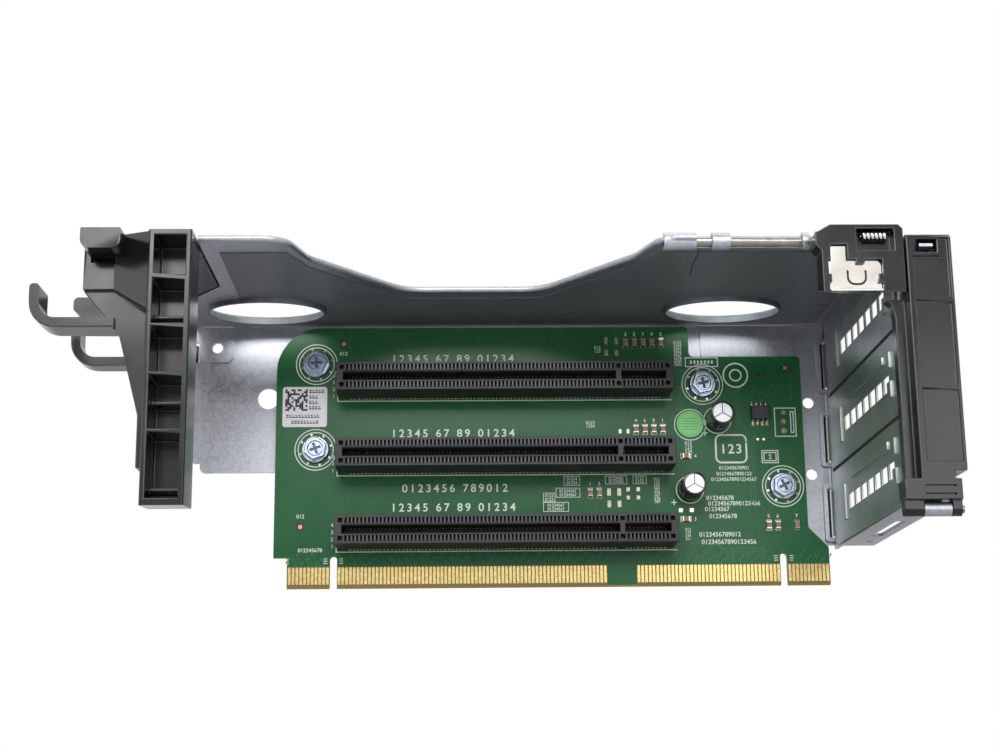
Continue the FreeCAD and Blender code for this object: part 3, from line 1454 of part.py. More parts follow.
# Hinge pin held in the panel's knuckle
keep("latch_bar_pin", rod_along("latch_bar_pin", "x", "hinge_pin_r", "pin_end - bar_foot_left",
                                ("bar_foot_left", "hinge_y", "hinge_z")))


# Board screws: washer, hexagon with a cross recess, and shank
def hexagon_at(name, flats, length, corner):
    hexagon = doc.addObject("Part::Prism", name)
    hexagon.Polygon = 6
    hexagon.Placement = FreeCAD.Placement(FreeCAD.Vector(), FreeCAD.Rotation(along_x, -90))
    bind(hexagon, "Circumradius", f"{flats} / sqrt(3)")
    bind(hexagon, "Height", length)
    set_corner(hexagon, corner)
    return hexagon


def screw_at(number, place_x, place_z):
    head_front = "-(screw_washer_thick + screw_hex_high)"
    hexagon = hexagon_at(f"screw_{number}_hexagon", "screw_hex_flats", "screw_hex_high",
                         (place_x, head_front, place_z))
    washer = rod_along(f"screw_{number}_washer", "y", "screw_washer_r", "screw_washer_thick",
                       (place_x, "-screw_washer_thick", place_z))
    shank = rod_along(f"screw_{number}_shank", "y", "screw_shank_r", "screw_washer_thick + panel_back",
                      (place_x, "-screw_washer_thick", place_z))
    bars = []
    for wide, high in (("screw_cross_long", "screw_cross_wide"), ("screw_cross_wide", "screw_cross_long")):
        bars.append(box(f"screw_{number}_recess", (f"{place_x} - {wide} / 2", head_front,
                                                   f"{place_z} - {high} / 2"),
                        (wide, "screw_cross_deep", high)))
    head = fuse(f"screw_{number}_head", [hexagon, washer, shank])
    return cut(f"screw_{number}", head, fuse(f"screw_{number}_cross", bars))


group("board_screws", [screw_at(number, *place) for number, place in enumerate(screw_places, start=1)])


# Bushes between the board and the panel
def bush_at(number, place_x, place_z):
    length = "panel_front - board_thick"
    foot = (place_x, "board_thick", place_z)
    outer = hexagon_at(f"bush_{number}_outer", "bush_flats", length, foot)
    bore = rod_along(f"bush_{number}_bore", "y", "screw_shank_r + bush_clear", length, foot)
    return cut(f"bush_{number}", outer, bore)


group("board_standoffs", [bush_at(number, *place) for number, place in enumerate(screw_places, start=1)])


# Can capacitors with a rolled groove above the seal
for number, name in enumerate(("can_one", "can_two"), start=1):
    can = new_body(f"bulk_capacitor_{number}")
    turned(can, polygon(can, "XY_Plane", f"{name}_z", [
        ("0", "0"),
        ("can_r", "0"),
        ("can_r", "-can_base"),
        ("can_r - can_groove", "-can_base"),
        ("can_r - can_groove", "-(can_base + can_groove_high)"),
        ("can_r", "-(can_base + can_groove_high)"),
        ("can_r", "-(can_high - can_top_bevel)"),
        ("can_r - can_top_bevel", "-can_high"),
        ("0", "-can_high"),
    ], across=f"{name}_x"), "V_Axis")
    nodes.append(can)


# Eight-lead chip standing on its leads
chip_pieces = [box("chip_case", ("chip_x - chip_long / 2", "-(chip_high + lead_thick)",
                                 "chip_z - chip_wide / 2"),
                   ("chip_long", "chip_high", "chip_wide"))]
for index in range(sizes["leads_a_side"]):
    lead_left = f"chip_x + ({index} - (leads_a_side - 1) / 2) * lead_pitch - lead_wide / 2"
    chip_pieces.append(box("chip_lead", (lead_left, "-lead_thick", "chip_z - chip_wide / 2 - lead_reach"),
                           ("lead_wide", "lead_thick", "chip_wide + 2 * lead_reach")))
group("logic_chip", chip_pieces)


# Chip capacitors in rows: socket they belong to, inset from the board's right edge, rise above
# the socket's middle line, count, and whether the row runs across or up the board
cap_rows = [
    (1, 47.3, 11.4, 5, "across"),
    (2, 45.1, 7.77, 4, "across"),
    (3, 57.8, 10.9, 2, "across"),
    (2, 31.9, 0.4, 1, "up"),
    (3, 32.5, 3.7, 1, "up"),
    (3, 10.45, 1.95, 2, "across"),
    (3, 3.0, 1.95, 1, "across"),
]
caps = []
for socket_number, inset, rise, count, direction in cap_rows:
    across = direction == "across"
    wide, high = ("cap_wide", "cap_long") if across else ("cap_long", "cap_wide")
    for index in range(count):
        step_x, step_z = (index, 0) if across else (0, index)
        middle_x = f"board_right - {inset} + {step_x} * cap_spacing"
        middle_z = f"slot_one_z - {socket_number - 1} * slot_pitch + {rise} + {step_z} * cap_spacing"
        caps.append(box("chip_capacitor", (f"{middle_x} - {wide} / 2", "-cap_high",
                                           f"{middle_z} - {high} / 2"),
                        (wide, "cap_high", high)))
group("chip_capacitors", caps)


# Paper label and round inspection dot on the board
keep("board_label", box("board_label", ("label_left", "-label_thick", "label_low"),
                        ("label_wide", "label_thick", "label_high")))
keep("inspection_dot", rod_along("inspection_dot", "y", "dot_r", "label_thick",
                                 ("dot_x", "-label_thick", "dot_z")))


# Check every object, then write one file per piece
doc.recompute()
for item in doc.Objects:
    if "Invalid" in item.State or "Error" in item.State:
        raise RuntimeError(f"{item.Name} is not valid")
os.makedirs("parts", exist_ok=True)
for node in nodes:
    shape = Part.getShape(node)
    if shape.isNull() or (node.TypeId != "App::Link" and not shape.isValid()):
        raise RuntimeError(f"{node.Label} has no valid shape")
    print(node.Label, len(shape.Solids), round(shape.Volume, 1))
    shape.exportStep(f"parts/{node.Label}.step")
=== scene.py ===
import math
import random

import bmesh
import bpy
from mathutils import Matrix, Vector
from mathutils.geometry import intersect_point_line


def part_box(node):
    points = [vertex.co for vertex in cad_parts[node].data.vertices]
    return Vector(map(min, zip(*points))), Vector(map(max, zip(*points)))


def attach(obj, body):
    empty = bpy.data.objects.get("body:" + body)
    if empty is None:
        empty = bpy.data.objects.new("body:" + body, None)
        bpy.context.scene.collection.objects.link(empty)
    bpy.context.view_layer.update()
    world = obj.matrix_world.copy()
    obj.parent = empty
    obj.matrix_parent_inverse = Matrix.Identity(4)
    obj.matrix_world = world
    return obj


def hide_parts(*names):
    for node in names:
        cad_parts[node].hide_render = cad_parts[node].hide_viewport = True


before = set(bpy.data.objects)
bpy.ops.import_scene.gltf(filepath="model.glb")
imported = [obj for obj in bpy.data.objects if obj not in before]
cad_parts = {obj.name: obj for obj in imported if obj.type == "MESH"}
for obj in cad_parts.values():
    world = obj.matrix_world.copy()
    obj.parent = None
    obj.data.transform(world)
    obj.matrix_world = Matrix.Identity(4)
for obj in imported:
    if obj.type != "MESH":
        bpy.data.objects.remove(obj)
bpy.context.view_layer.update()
scene = bpy.context.scene
mm = 0.001  # sizes below are in millimetres, Blender works in metres


# small tools shared by all materials

def hexColour(text):  # sRGB hex to linear
    parts = [int(text[i:i + 2], 16) / 255 for i in (1, 3, 5)]
    return [c / 12.92 if c <= 0.04045 else ((c + 0.055) / 1.055) ** 2.4 for c in parts] + [1.0]


def addNode(tree, kind, inputs=None, stops=None, **settings):
    node = tree.nodes.new(kind)
    for name, value in settings.items():
        setattr(node, name, value)
    for name, value in (inputs or {}).items():
        if isinstance(value, bpy.types.NodeSocket):
            tree.links.new(value, node.inputs[name])
        else:
            node.inputs[name].default_value = value
    if stops:
        node.color_ramp.elements.remove(node.color_ramp.elements[1])
        node.color_ramp.elements[0].position = stops[0][0]
        node.color_ramp.elements[0].color = hexColour(stops[0][1])
        for place, colour in stops[1:]:
            node.color_ramp.elements.new(place).color = hexColour(colour)
    return node


def newMaterial(name, sockets):
    material = bpy.data.materials.new(name)
    material.use_nodes = True
    tree = material.node_tree
    tree.nodes.clear()
    shader = addNode(tree, "ShaderNodeBsdfPrincipled", sockets)
    addNode(tree, "ShaderNodeOutputMaterial", {"Surface": shader.outputs["BSDF"]})
    place = addNode(tree, "ShaderNodeTexCoord").outputs["Object"]
    return material, tree, shader, place


def perSize(size):  # pattern scale from a real size in millimetres
    return 1 / (size * mm)


# camera where the photograph was taken from: below the card edge, looking up at the cage

cameraSet = {
    "place": (-26.82, -446.58, -49.64),
    "turn": (103.427, 0.598, -1.359),
    "lens": 61.2,
    "sensor": 36.0,
    "near": 10,
}
cameraData = bpy.data.cameras.new("productCamera")
cameraData.lens = cameraSet["lens"]
cameraData.sensor_width = cameraSet["sensor"]
cameraData.clip_start = cameraSet["near"] * mm
camera = bpy.data.objects.new("productCamera", cameraData)
camera.location = Vector(cameraSet["place"]) * mm
camera.rotation_euler = [math.radians(angle) for angle in cameraSet["turn"]]
scene.collection.objects.link(camera)
scene.camera = camera


# pale floor under the card edge, white room and soft lamps

stageSet = {
    "floorColour": "#f2f2f2",
    "floorRough": 0.9,
    "floorHalf": 4000,
    "floorLevel": -0.3,
    "fadeFrom": 150,
    "fadeTo": 650,
    "roomColour": "#ffffff",
    "roomFill": 0.42,
}
half, level = stageSet["floorHalf"] * mm, stageSet["floorLevel"] * mm
corners = [(-half, -half, level), (half, -half, level), (half, half, level), (-half, half, level)]
floorMesh = bpy.data.meshes.new("floor")
floorMesh.from_pydata(corners, [], [(0, 1, 2, 3)])
floor = bpy.data.objects.new("floor", floorMesh)
scene.collection.objects.link(floor)

# matt paper that shows from above only, because the photograph looks up from under its level;
# away from the object it fades into the room
floorPaper = bpy.data.materials.new("floorPaper")
floorPaper.use_nodes = True
tree = floorPaper.node_tree
tree.nodes.clear()
paper = addNode(tree, "ShaderNodeBsdfPrincipled", {"Base Color": hexColour(stageSet["floorColour"]),
                                                   "Roughness": stageSet["floorRough"]})
clear = addNode(tree, "ShaderNodeBsdfTransparent")
underside = addNode(tree, "ShaderNodeNewGeometry").outputs["Backfacing"]
place = addNode(tree, "ShaderNodeTexCoord").outputs["Object"]
away = addNode(tree, "ShaderNodeVectorMath", {0: place}, operation="LENGTH")
fade = addNode(tree, "ShaderNodeMapRange", {"Value": away.outputs["Value"],
                                            "From Min": stageSet["fadeFrom"] * mm,
                                            "From Max": stageSet["fadeTo"] * mm},
               interpolation_type="SMOOTHSTEP")
hidden = addNode(tree, "ShaderNodeMath", {0: underside, 1: fade.outputs[0]}, operation="MAXIMUM")
mixed = addNode(tree, "ShaderNodeMixShader", {0: hidden.outputs[0], 1: paper.outputs[0], 2: clear.outputs[0]})
addNode(tree, "ShaderNodeOutputMaterial", {"Surface": mixed.outputs[0]})
floorMesh.materials.append(floorPaper)

# camera, glossy and transmission rays see white; other rays get the softer fill
room = bpy.data.worlds.new("whiteRoom")
scene.world = room
room.use_nodes = True
tree = room.node_tree
tree.nodes.clear()
rays = addNode(tree, "ShaderNodeLightPath")
seen = addNode(tree, "ShaderNodeMath", {0: rays.outputs["Is Camera Ray"], 1: rays.outputs["Is Glossy Ray"]},
               operation="MAXIMUM")
seen = addNode(tree, "ShaderNodeMath", {0: seen.outputs[0], 1: rays.outputs["Is Transmission Ray"]},
               operation="MAXIMUM")
strength = addNode(tree, "ShaderNodeMapRange", {"Value": seen.outputs[0], "To Min": stageSet["roomFill"],
                                                "To Max": 1.0})
background = addNode(tree, "ShaderNodeBackground", {"Color": hexColour(stageSet["roomColour"]),
                                                    "Strength": strength.outputs[0]})
addNode(tree, "ShaderNodeOutputWorld", {"Surface": background.outputs[0]})

lampSet = [  # name, place, aimed at, width, height, watts
    ("softBoxFront", (-70, -560, 290), (-70, -20, 180), 370, 200, 2.2),
    ("softBoxTop", (40, 60, 640), (-10, -20, 30), 700, 500, 1.3),
    ("fillRight", (195, -540, 80), (40, -10, 35), 200, 160, 0.28),
    ("fillLeft", (-560, -300, 190), (60, -40, 35), 320, 320, 0.5),
]
for name, place, target, width, height, watts in lampSet:
    lampData = bpy.data.lights.new(name, "AREA")
    lampData.shape = "RECTANGLE"
    lampData.size = width * mm
    lampData.size_y = height * mm
    lampData.energy = watts
    lamp = bpy.data.objects.new(name, lampData)
    lamp.location = Vector(place) * mm
    lamp.rotation_euler = (Vector(target) - Vector(place)).to_track_quat("-Z", "Y").to_euler()
    scene.collection.objects.link(lamp)
scene.view_settings.view_transform = "Standard"
print("camera, floor, room and", len(lampSet), "lamps set")


# materials: each family is one function, each finish one row under it

def dressSurface(tree, shader, look, tone, glossTone, height):  # colour, gloss and relief from three patterns
    shade = addNode(tree, "ShaderNodeValToRGB", {"Fac": tone}, stops=look["stops"])
    gloss = addNode(tree, "ShaderNodeMapRange", {"Value": glossTone, "From Min": look["glossSpan"][0],
                                                 "From Max": look["glossSpan"][1],
                                                 "To Min": look["smoothest"], "To Max": look["roughest"]})
    bump = addNode(tree, "ShaderNodeBump", {"Strength": look["relief"], "Distance": look["reliefDeep"] * mm,
                                            "Height": height})
    for node, socket in ((shade, "Base Color"), (gloss, "Roughness"), (bump, "Normal")):
        tree.links.new(node.outputs[0], shader.inputs[socket])


def galvanisedSheet():
    # hot-dip galvanised steel: fine zinc crystals that catch the light one by one, cloudy patches;
    # crystals and grain are drawn coarser than they are, or they would not show
    look = {"stops": ((0.2, "#979aa2"), (0.5, "#a7aab1"), (0.8, "#b8bac1")), "metallic": 0.92,
            "crystal": 0.7, "cloud": 16.0, "cloudDetail": 4.0, "cloudShare": 0.62, "grain": 0.35,
            "grainDetail": 2.0, "glossSpan": (0.25, 0.75), "smoothest": 0.32, "roughest": 0.46,
            "relief": 0.1, "reliefDeep": 0.03}
    material, tree, shader, place = newMaterial("galvanisedSheet", {"Metallic": look["metallic"]})
    crystals = addNode(tree, "ShaderNodeTexVoronoi", {"Vector": place, "Scale": perSize(look["crystal"])})
    clouds = addNode(tree, "ShaderNodeTexNoise", {"Vector": place, "Scale": perSize(look["cloud"]),
                                                  "Detail": look["cloudDetail"]})
    grain = addNode(tree, "ShaderNodeTexNoise", {"Vector": place, "Scale": perSize(look["grain"]),
                                                 "Detail": look["grainDetail"]})
    tone = addNode(tree, "ShaderNodeMix", {"Factor": look["cloudShare"], 2: crystals.outputs["Color"],
                                           3: clouds.outputs["Fac"]}).outputs[0]
    dressSurface(tree, shader, look, tone, tone, grain.outputs["Fac"])
    return material


def plainMetal(name, colours, cloud, roughest, smoothest):
    # plated, drawn or ground metal: one tone with soft clouds, and a gloss that wanders with them;
    # the clouds stand for a grain that is too fine to show
    look = {"stops": ((0.3, colours[0]), (0.7, colours[1])), "detail": 4.0, "glossSpan": (0.0, 1.0),
            "smoothest": smoothest, "roughest": roughest, "relief": 0.08, "reliefDeep": 0.02}
    material, tree, shader, place = newMaterial(name, {"Metallic": 1.0})
    clouds = addNode(tree, "ShaderNodeTexNoise", {"Vector": place, "Scale": perSize(cloud),
                                                  "Detail": look["detail"]}).outputs["Fac"]
    dressSurface(tree, shader, look, clouds, clouds, clouds)
    return material


def mouldedPlastic(name, colours, grain, roughest, smoothest, relief, shine=0.5):
    # moulded, cured, printed or fired: fine grain, tone and gloss a little uneven over the part;
    # the grain is a few times coarser than the real one, which is too fine to show
    look = {"stops": ((0.3, colours[0]), (0.7, colours[1])), "refraction": 1.5, "flow": 14.0,
            "flowShare": 0.5, "detail": 3.0, "glossSpan": (0.3, 0.7), "smoothest": smoothest,
            "roughest": roughest, "relief": relief, "reliefDeep": 0.04}
    sockets = {"IOR": look["refraction"], "Specular IOR Level": shine}
    material, tree, shader, place = newMaterial(name, sockets)
    texture, flow = [addNode(tree, "ShaderNodeTexNoise", {"Vector": place, "Scale": perSize(size),
                                                          "Detail": look["detail"]}).outputs["Fac"]
                     for size in (grain, look["flow"])]
    tone = addNode(tree, "ShaderNodeMix", {"Factor": look["flowShare"], 2: texture, 3: flow}).outputs[0]
    dressSurface(tree, shader, look, tone, flow, texture)
    return material


# metals: name, darkest and lightest tone, cloud size in mm, roughest, smoothest
# plastics: name, darkest and lightest tone, grain size in mm, roughest, smoothest, relief, shine
finishes = {
    "galvanised": galvanisedSheet(),
    # zinc-plated rolled sheet: dull grey, tinted a little green as a painted reflection of the green board
    "plated": plainMetal("zincSheetBoardReflection", ("#a3aaa7", "#bac1be"), 9.0, 0.42, 0.3),
    # bright zinc on turned and pressed steel: bluish, nearly a mirror
    "zinc": plainMetal("zincPlatedSteel", ("#98a2b3", "#aab4c4"), 1.2, 0.24, 0.16),
    # the same zinc, darkened and dulled at the bottom of a punched recess: painted shade of the recess
    "zincShade": plainMetal("zincPaintedRecessShade", ("#4b5360", "#5a6270"), 1.2, 0.5, 0.4),
    # the zinc of the finger-hole lips, an even matt grey darker than the sheet: painted shade and painted
    # reflection of the dark film and board inside the lip
    "lip": plainMetal("holeLipPaintedShade", ("#70777a", "#868c90"), 3.0, 0.66, 0.52),
    # ground steel rod: warm grey with sharp long reflections
    "bright": plainMetal("brightSteel", ("#8a8783", "#9f9c97"), 2.0, 0.2, 0.1),
    # polished spring wire: light turns with dark gaps
    "chrome": plainMetal("polishedWire", ("#c4c2be", "#d6d4d0"), 2.0, 0.24, 0.14),
    # nickel on stamped spring steel: pale, warm and smooth
    "nickel": plainMetal("nickelPlate", ("#cdc8c2", "#d9d5cf"), 6.0, 0.2, 0.12),
    # deep-drawn aluminium: soft silver
    "aluminium": plainMetal("drawnAluminium", ("#aeafb2", "#c0c1c4"), 1.5, 0.5, 0.36),
    # the groove pressed into it, darkened to a grey line: painted shade in the groove
    "scoreShade": plainMetal("scoreGroovePaintedShade", ("#5d5e62", "#6c6d71"), 1.5, 0.6, 0.5),
    # hard gold on copper pads: pale brass colour, satin
    "gold": plainMetal("goldPlate", ("#b29a5c", "#cdb982"), 1.0, 0.34, 0.22),
    # reflowed solder: rounded and shiny, slightly yellow
    "solder": plainMetal("reflowedSolder", ("#9a9282", "#bbb3a3"), 0.4, 0.22, 0.1),
    # etched copper: pink-brown and matt
    "copper": plainMetal("etchedCopper", ("#a37f6b", "#bd9a85"), 0.3, 0.5, 0.36),
    # calendered polycarbonate film: dark grey satin
    "film": mouldedPlastic("satinFilm", ("#4c4f54", "#5b5e63"), 0.5, 0.42, 0.34, 0.05),
    # glossy ABS blend from a polished tool: black with clear reflections
    "black": mouldedPlastic("blackMoulding", ("#0d0f0f", "#161819"), 0.4, 0.26, 0.14, 0.1, 0.4),
    # its edges: rubbed lighter by handling, and lighter still as a painted highlight along them
    "wearAndHighlight": mouldedPlastic("edgeWearAndHighlight", ("#2b2d2f", "#444649"), 0.8, 0.34, 0.24, 0.05),
    # glass-filled nylon: dull black with a fine grain
    "nylon": mouldedPlastic("glassFilledNylon", ("#191a1c", "#252629"), 0.35, 0.6, 0.46, 0.15),
    # the thin walls of it between the contacts: greyer than the nylon, painted light coming past them
    "partition": mouldedPlastic("thinNylonWallPaintedLight", ("#303135", "#3e3f44"), 0.35, 0.5, 0.4, 0.1),
    # transfer-moulded epoxy: matt charcoal
    "epoxy": mouldedPlastic("epoxyChipCase", ("#26272b", "#33343a"), 0.25, 0.62, 0.5, 0.12),
    # shrunk vinyl sleeve: black-brown and glossy
    "sleeve": mouldedPlastic("shrinkSleeve", ("#1a1418", "#2a2026"), 2.0, 0.2, 0.12, 0.02),
    # fired ceramic: light brown, half matt
    "ceramic": mouldedPlastic("firedCeramic", ("#7d6455", "#977d6b"), 0.3, 0.5, 0.36, 0.05),
    # cured solder mask: deep green, a thin even gloss
    "mask": mouldedPlastic("solderMask", ("#1b5330", "#25633b"), 0.6, 0.32, 0.22, 0.04, 0.22),
    # the same mask over copper: lighter green
    "track": mouldedPlastic("maskOverCopper", ("#2c6a44", "#3a7a50"), 0.6, 0.34, 0.22, 0.04, 0.22),
    # milled glass laminate: straw-coloured and fibrous
    "laminate": mouldedPlastic("glassLaminate", ("#9c8447", "#b49a58"), 0.3, 0.6, 0.46, 0.1),
    # the laminate's own resin between the contacts: brown
    "resin": mouldedPlastic("bareResin", ("#66572f", "#7a6a3f"), 0.3, 0.6, 0.46, 0.1),
    # screen-printed ink: chalky white
    "ink": mouldedPlastic("whiteInk", ("#c9d2ca", "#e4eae5"), 0.4, 0.6, 0.5, 0.1),
    # coated label paper: white with a cool tint
    "paper": mouldedPlastic("labelPaper", ("#d9d9de", "#e9e9ed"), 0.4, 0.6, 0.5, 0.06),
    # thermal print: soft black
    "print": mouldedPlastic("blackPrint", ("#1c1c1f", "#2c2c30"), 0.4, 0.6, 0.5, 0.04),
    # fluorescent vinyl sticker: light green
    "dot": mouldedPlastic("greenSticker", ("#79cb76", "#90da8c"), 0.5, 0.5, 0.4, 0.05),
    # printing on it: one step darker
    "dotPrint": mouldedPlastic("greenStickerPrint", ("#55b058", "#64bb66"), 0.5, 0.5, 0.4, 0.05),
    # near-black, swallows light: painted shade in the joints between the slot covers, in the slots of their
    # tongues and along the creases of the film
    "gapShade": mouldedPlastic("blackGapShade", ("#0d0e0f", "#18191b"), 0.3, 0.8, 0.7, 0.3),
}
print("materials made:", len(finishes))


# mesh tools: sizes in millimetres, outlines as (x, z) pushed along Y unless another axis is named

weldReach = 0.002  # corners nearer to each other than this are one corner


def boxOutline(left, low, right, high):
    return [(left, low), (right, low), (right, high), (left, high)]


def roundOutline(left, low, right, high, radius, steps=5):
    corners = ((right - radius, high - radius, 0), (left + radius, high - radius, 90),
               (left + radius, low + radius, 180), (right - radius, low + radius, 270))
    outline = []
    for x, z, start in corners:
        for i in range(steps + 1):
            angle = math.radians(start + 90 * i / steps)
            outline.append((x + radius * math.cos(angle), z + radius * math.sin(angle)))
    return outline


def ribbon(points, width):  # outline of a line of even width with mitred bends
    spots = [Vector(point) for point in points]
    near, far = [], []
    for i, spot in enumerate(spots):
        before = (spot - spots[i - 1] if i else spots[1] - spot).normalized()
        after = (spots[i + 1] - spot).normalized() if i + 1 < len(spots) else before
        middle = (before + after).normalized()
        side = Vector((-middle.y, middle.x)) * (width / 2 / middle.dot(before))
        near.append(spot + side)
        far.append(spot - side)
    return near + far[::-1]


def solidPlate(work, outline, low, high, finishIndex=0, along="y"):
    turnTo = {"x": (2, 0, 1), "y": (0, 2, 1), "z": (0, 1, 2)}[along]
    rings = []
    for level in (low, high):
        spots = [(a, b, level) for a, b in outline]
        rings.append([work.verts.new([spot[i] * mm for i in turnTo]) for spot in spots])
    walls = [(rings[0][i - 1], rings[0][i], rings[1][i], rings[1][i - 1]) for i in range(len(outline))]
    for corners in rings + walls:
        work.faces.new(corners).material_index = finishIndex


def flatBox(work, left, low, right, high, front, back, finishIndex=0):
    solidPlate(work, boxOutline(left, low, right, high), front, back, finishIndex)


def loftedPlate(work, levels):  # levels: (outline, y), joined one to the next, closed at both ends
    rings = [[work.verts.new((x * mm, level * mm, z * mm)) for x, z in outline] for outline, level in levels]
    faces = [rings[0], rings[-1]]
    for first, second in zip(rings, rings[1:]):
        faces += [(first[i - 1], first[i], second[i], second[i - 1]) for i in range(len(first))]
    for corners in faces:
        work.faces.new(corners)


def turnedForm(work, x, z, profile, steps, finishIndex=0, ring=False):  # profile: (radius, y) round a Y axis
    loops = []
    for radius, level in profile:
        angles = [2 * math.pi * i / steps for i in range(steps if radius else 1)]
        loops.append([work.verts.new(Vector((x + radius * math.cos(a), level, z + radius * math.sin(a))) * mm)
                      for a in angles])
    pairs = list(zip(loops, loops[1:])) + ([(loops[-1], loops[0])] if ring else [])
    for first, second in pairs:
        for i in range(steps):
            corners = (first[(i - 1) % len(first)], first[i % len(first)],
                       second[i % len(second)], second[(i - 1) % len(second)])
            work.faces.new(list(dict.fromkeys(corners))).material_index = finishIndex


def flatRing(work, x, z, outer, width, front, back, finishIndex=0, steps=48):
    inner = outer - width
    profile = ((inner, back), (inner, front), (outer, front), (outer, back))
    turnedForm(work, x, z, profile, steps, finishIndex, True)


def flatDisc(work, x, z, radius, front, back, finishIndex=0, steps=12):
    turnedForm(work, x, z, ((0, back), (radius, back), (radius, front), (0, front)), steps, finishIndex)


def flatFrame(work, left, low, right, high, width, front, back):
    for edges in ((left, low, right, low + width), (left, high - width, right, high),
                  (left, low + width, left + width, high - width),
                  (right - width, low + width, right, high - width)):
        flatBox(work, *edges, front, back)


def lineRound(work, outline, width, front, back):  # closed line of even width along an outline
    for i in range(len(outline)):
        solidPlate(work, ribbon((outline[i - 1], outline[i]), width), front, back)


def wedge(x, z, tip, reach, start, end, spare, steps):  # slice of a disc, set back from both cuts
    middle, sweep = (start + end) / 2, (end - start - 2 * spare) / steps
    arc = [start + spare + sweep * i for i in range(steps + 1)]
    spots = [(tip, middle)] + [(reach, angle) for angle in arc]
    return [(x + radius * math.cos(angle), z + radius * math.sin(angle)) for radius, angle in spots]


numberSet = {"digitShare": 0.7, "bolder": 0.02}  # digit height to font size, thickening to digit height


def plainNumber(work, text, x, z, height, front, back, spread=1.0):  # digits of Blender's own font
    digits = bpy.data.curves.new("digits", "FONT")
    digits.body = text
    digits.align_x = "CENTER"
    digits.size = height * mm / numberSet["digitShare"]
    digits.offset = height * numberSet["bolder"] * mm
    digits.space_character = spread
    digits.extrude = (back - front) / 2 * mm
    holder = bpy.data.objects.new("digits", digits)
    mesh = bpy.data.meshes.new_from_object(holder)
    stoodUp = Matrix.Rotation(math.pi / 2, 4, "X")
    mesh.transform(Matrix.Translation(Vector((x, (front + back) / 2, z)) * mm) @ stoodUp)
    work.from_mesh(mesh)
    bpy.data.meshes.remove(mesh)
    bpy.data.objects.remove(holder)
    bpy.data.curves.remove(digits)


def makePiece(name, work, finishNames, body, replaced=(), smoothAngle=35):
    bmesh.ops.recalc_face_normals(work, faces=work.faces)
    mesh = bpy.data.meshes.new(name)
    work.to_mesh(mesh)
    work.free()
    for finish in finishNames:
        mesh.materials.append(finishes[finish])
    mesh.shade_smooth()
    mesh.set_sharp_from_angle(angle=math.radians(smoothAngle))
    piece = bpy.data.objects.new(name, mesh)
    scene.collection.objects.link(piece)
    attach(piece, body)
    if replaced:
        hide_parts(*replaced)
    return piece


def nodeBox(node):  # lowest and highest corners in millimetres
    low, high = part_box(node)
    return Vector(low) / mm, Vector(high) / mm


def roundPlace(low, high):  # middle and radius of a round piece that stands on the board
    return (low.x + high.x) / 2, (low.z + high.z) / 2, (high.x - low.x) / 2


def nodeMesh(node):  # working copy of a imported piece, with the corners of its triangles joined
    work = bmesh.new()
    work.from_mesh(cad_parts[node].data)
    bmesh.ops.remove_doubles(work, verts=work.verts, dist=weldReach * mm)
    return work


def solidBoxes(node):  # lowest and highest corners of each separate solid of a node, from left to right
    work = nodeMesh(node)
    boxes = []
    left = set(work.verts)
    while left:
        group = [left.pop()]
        for vert in group:
            for edge in vert.link_edges:
                other = edge.other_vert(vert)
                if other in left:
                    left.remove(other)
                    group.append(other)
        corners = [[pick(vert.co[axis] for vert in group) / mm for axis in range(3)] for pick in (min, max)]
        boxes.append(corners)
    work.free()
    return [(Vector(low), Vector(high)) for low, high in sorted(boxes)]


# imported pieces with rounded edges: same shape and place as the node, edges broken as a real tool leaves them

roundingSet = {"flatAngle": 1.0, "sharpAngle": 35, "roomFor": 2.2, "steps": 4, "smoothAngle": 22.8}


def stripWidth(line):  # least distance from an edge to the facing edges of its two faces
    spots = [vert.co for vert in line.verts]
    middle = (spots[0] + spots[1]) / 2
    widths = [math.inf]
    for side in line.link_faces:
        for other in side.edges:
            if other is line or set(other.verts) & set(line.verts):
                continue
            first, second = [vert.co for vert in other.verts]
            for spot, start, end in ((middle, first, second), ((first + second) / 2, *spots)):
                near, share = intersect_point_line(spot, start, end)
                if 0 <= share <= 1:
                    widths.append((spot - near).length)
    return min(widths)


def edgeRounded(node, body, slot, finish, edge, edgeFinish=None, patch=None):
    work = nodeMesh(node)
    bmesh.ops.dissolve_limit(work, angle_limit=math.radians(roundingSet["flatAngle"]), verts=work.verts,
                             edges=work.edges)
    for side in work.faces:
        side.material_index = 0
    reach, room = edge * mm, edge * mm * roundingSet["roomFor"]
    rounded = []
    for line in work.edges:
        if len(line.link_faces) != 2 or line.calc_face_angle(0) < math.radians(roundingSet["sharpAngle"]):
            continue
        # beside a short edge or a narrow strip an edge stays sharp, or its rounding would overrun
        beside = [other for vert in line.verts for other in vert.link_edges]
        if all(other.calc_length() > room for other in beside) and stripWidth(line) > room:
            rounded.append(line)
    if edge:
        bmesh.ops.bevel(work, geom=rounded, offset=reach, offset_type="OFFSET", segments=roundingSet["steps"],
                        profile=0.5, affect="EDGES", clamp_overlap=False, material=1 if edgeFinish else 0)
    used = [finish] + [edgeFinish] * bool(edgeFinish)
    if patch:
        used.append(patch[0])
        work.normal_update()
        for side in work.faces:
            if patch[1](side.calc_center_median() / mm, side.normal):
                side.material_index = len(used) - 1
    piece = makePiece(node + "_shown", work, used, body, (node,), roundingSet["smoothAngle"])
    even = piece.modifiers.new("evenFaces", "WEIGHTED_NORMAL")
    even.keep_sharp = True


holeSet = {"centres": ((-76.6, -14.4), (43.5, -14.4)), "halfLong": 16.4, "halfWide": 12.1, "sheetUnder": 71.9,
           "flatTurn": 0.8}


def onHoleLip(centre, normal):  # turned-down lip of a finger hole
    for x, y in holeSet["centres"]:
        inside = ((centre.x - x) / holeSet["halfLong"]) ** 2 + ((centre.y - y) / holeSet["halfWide"]) ** 2 < 1
        if inside and (abs(normal.z) < holeSet["flatTurn"] or centre.z < holeSet["sheetUnder"]):
            return True
    return False


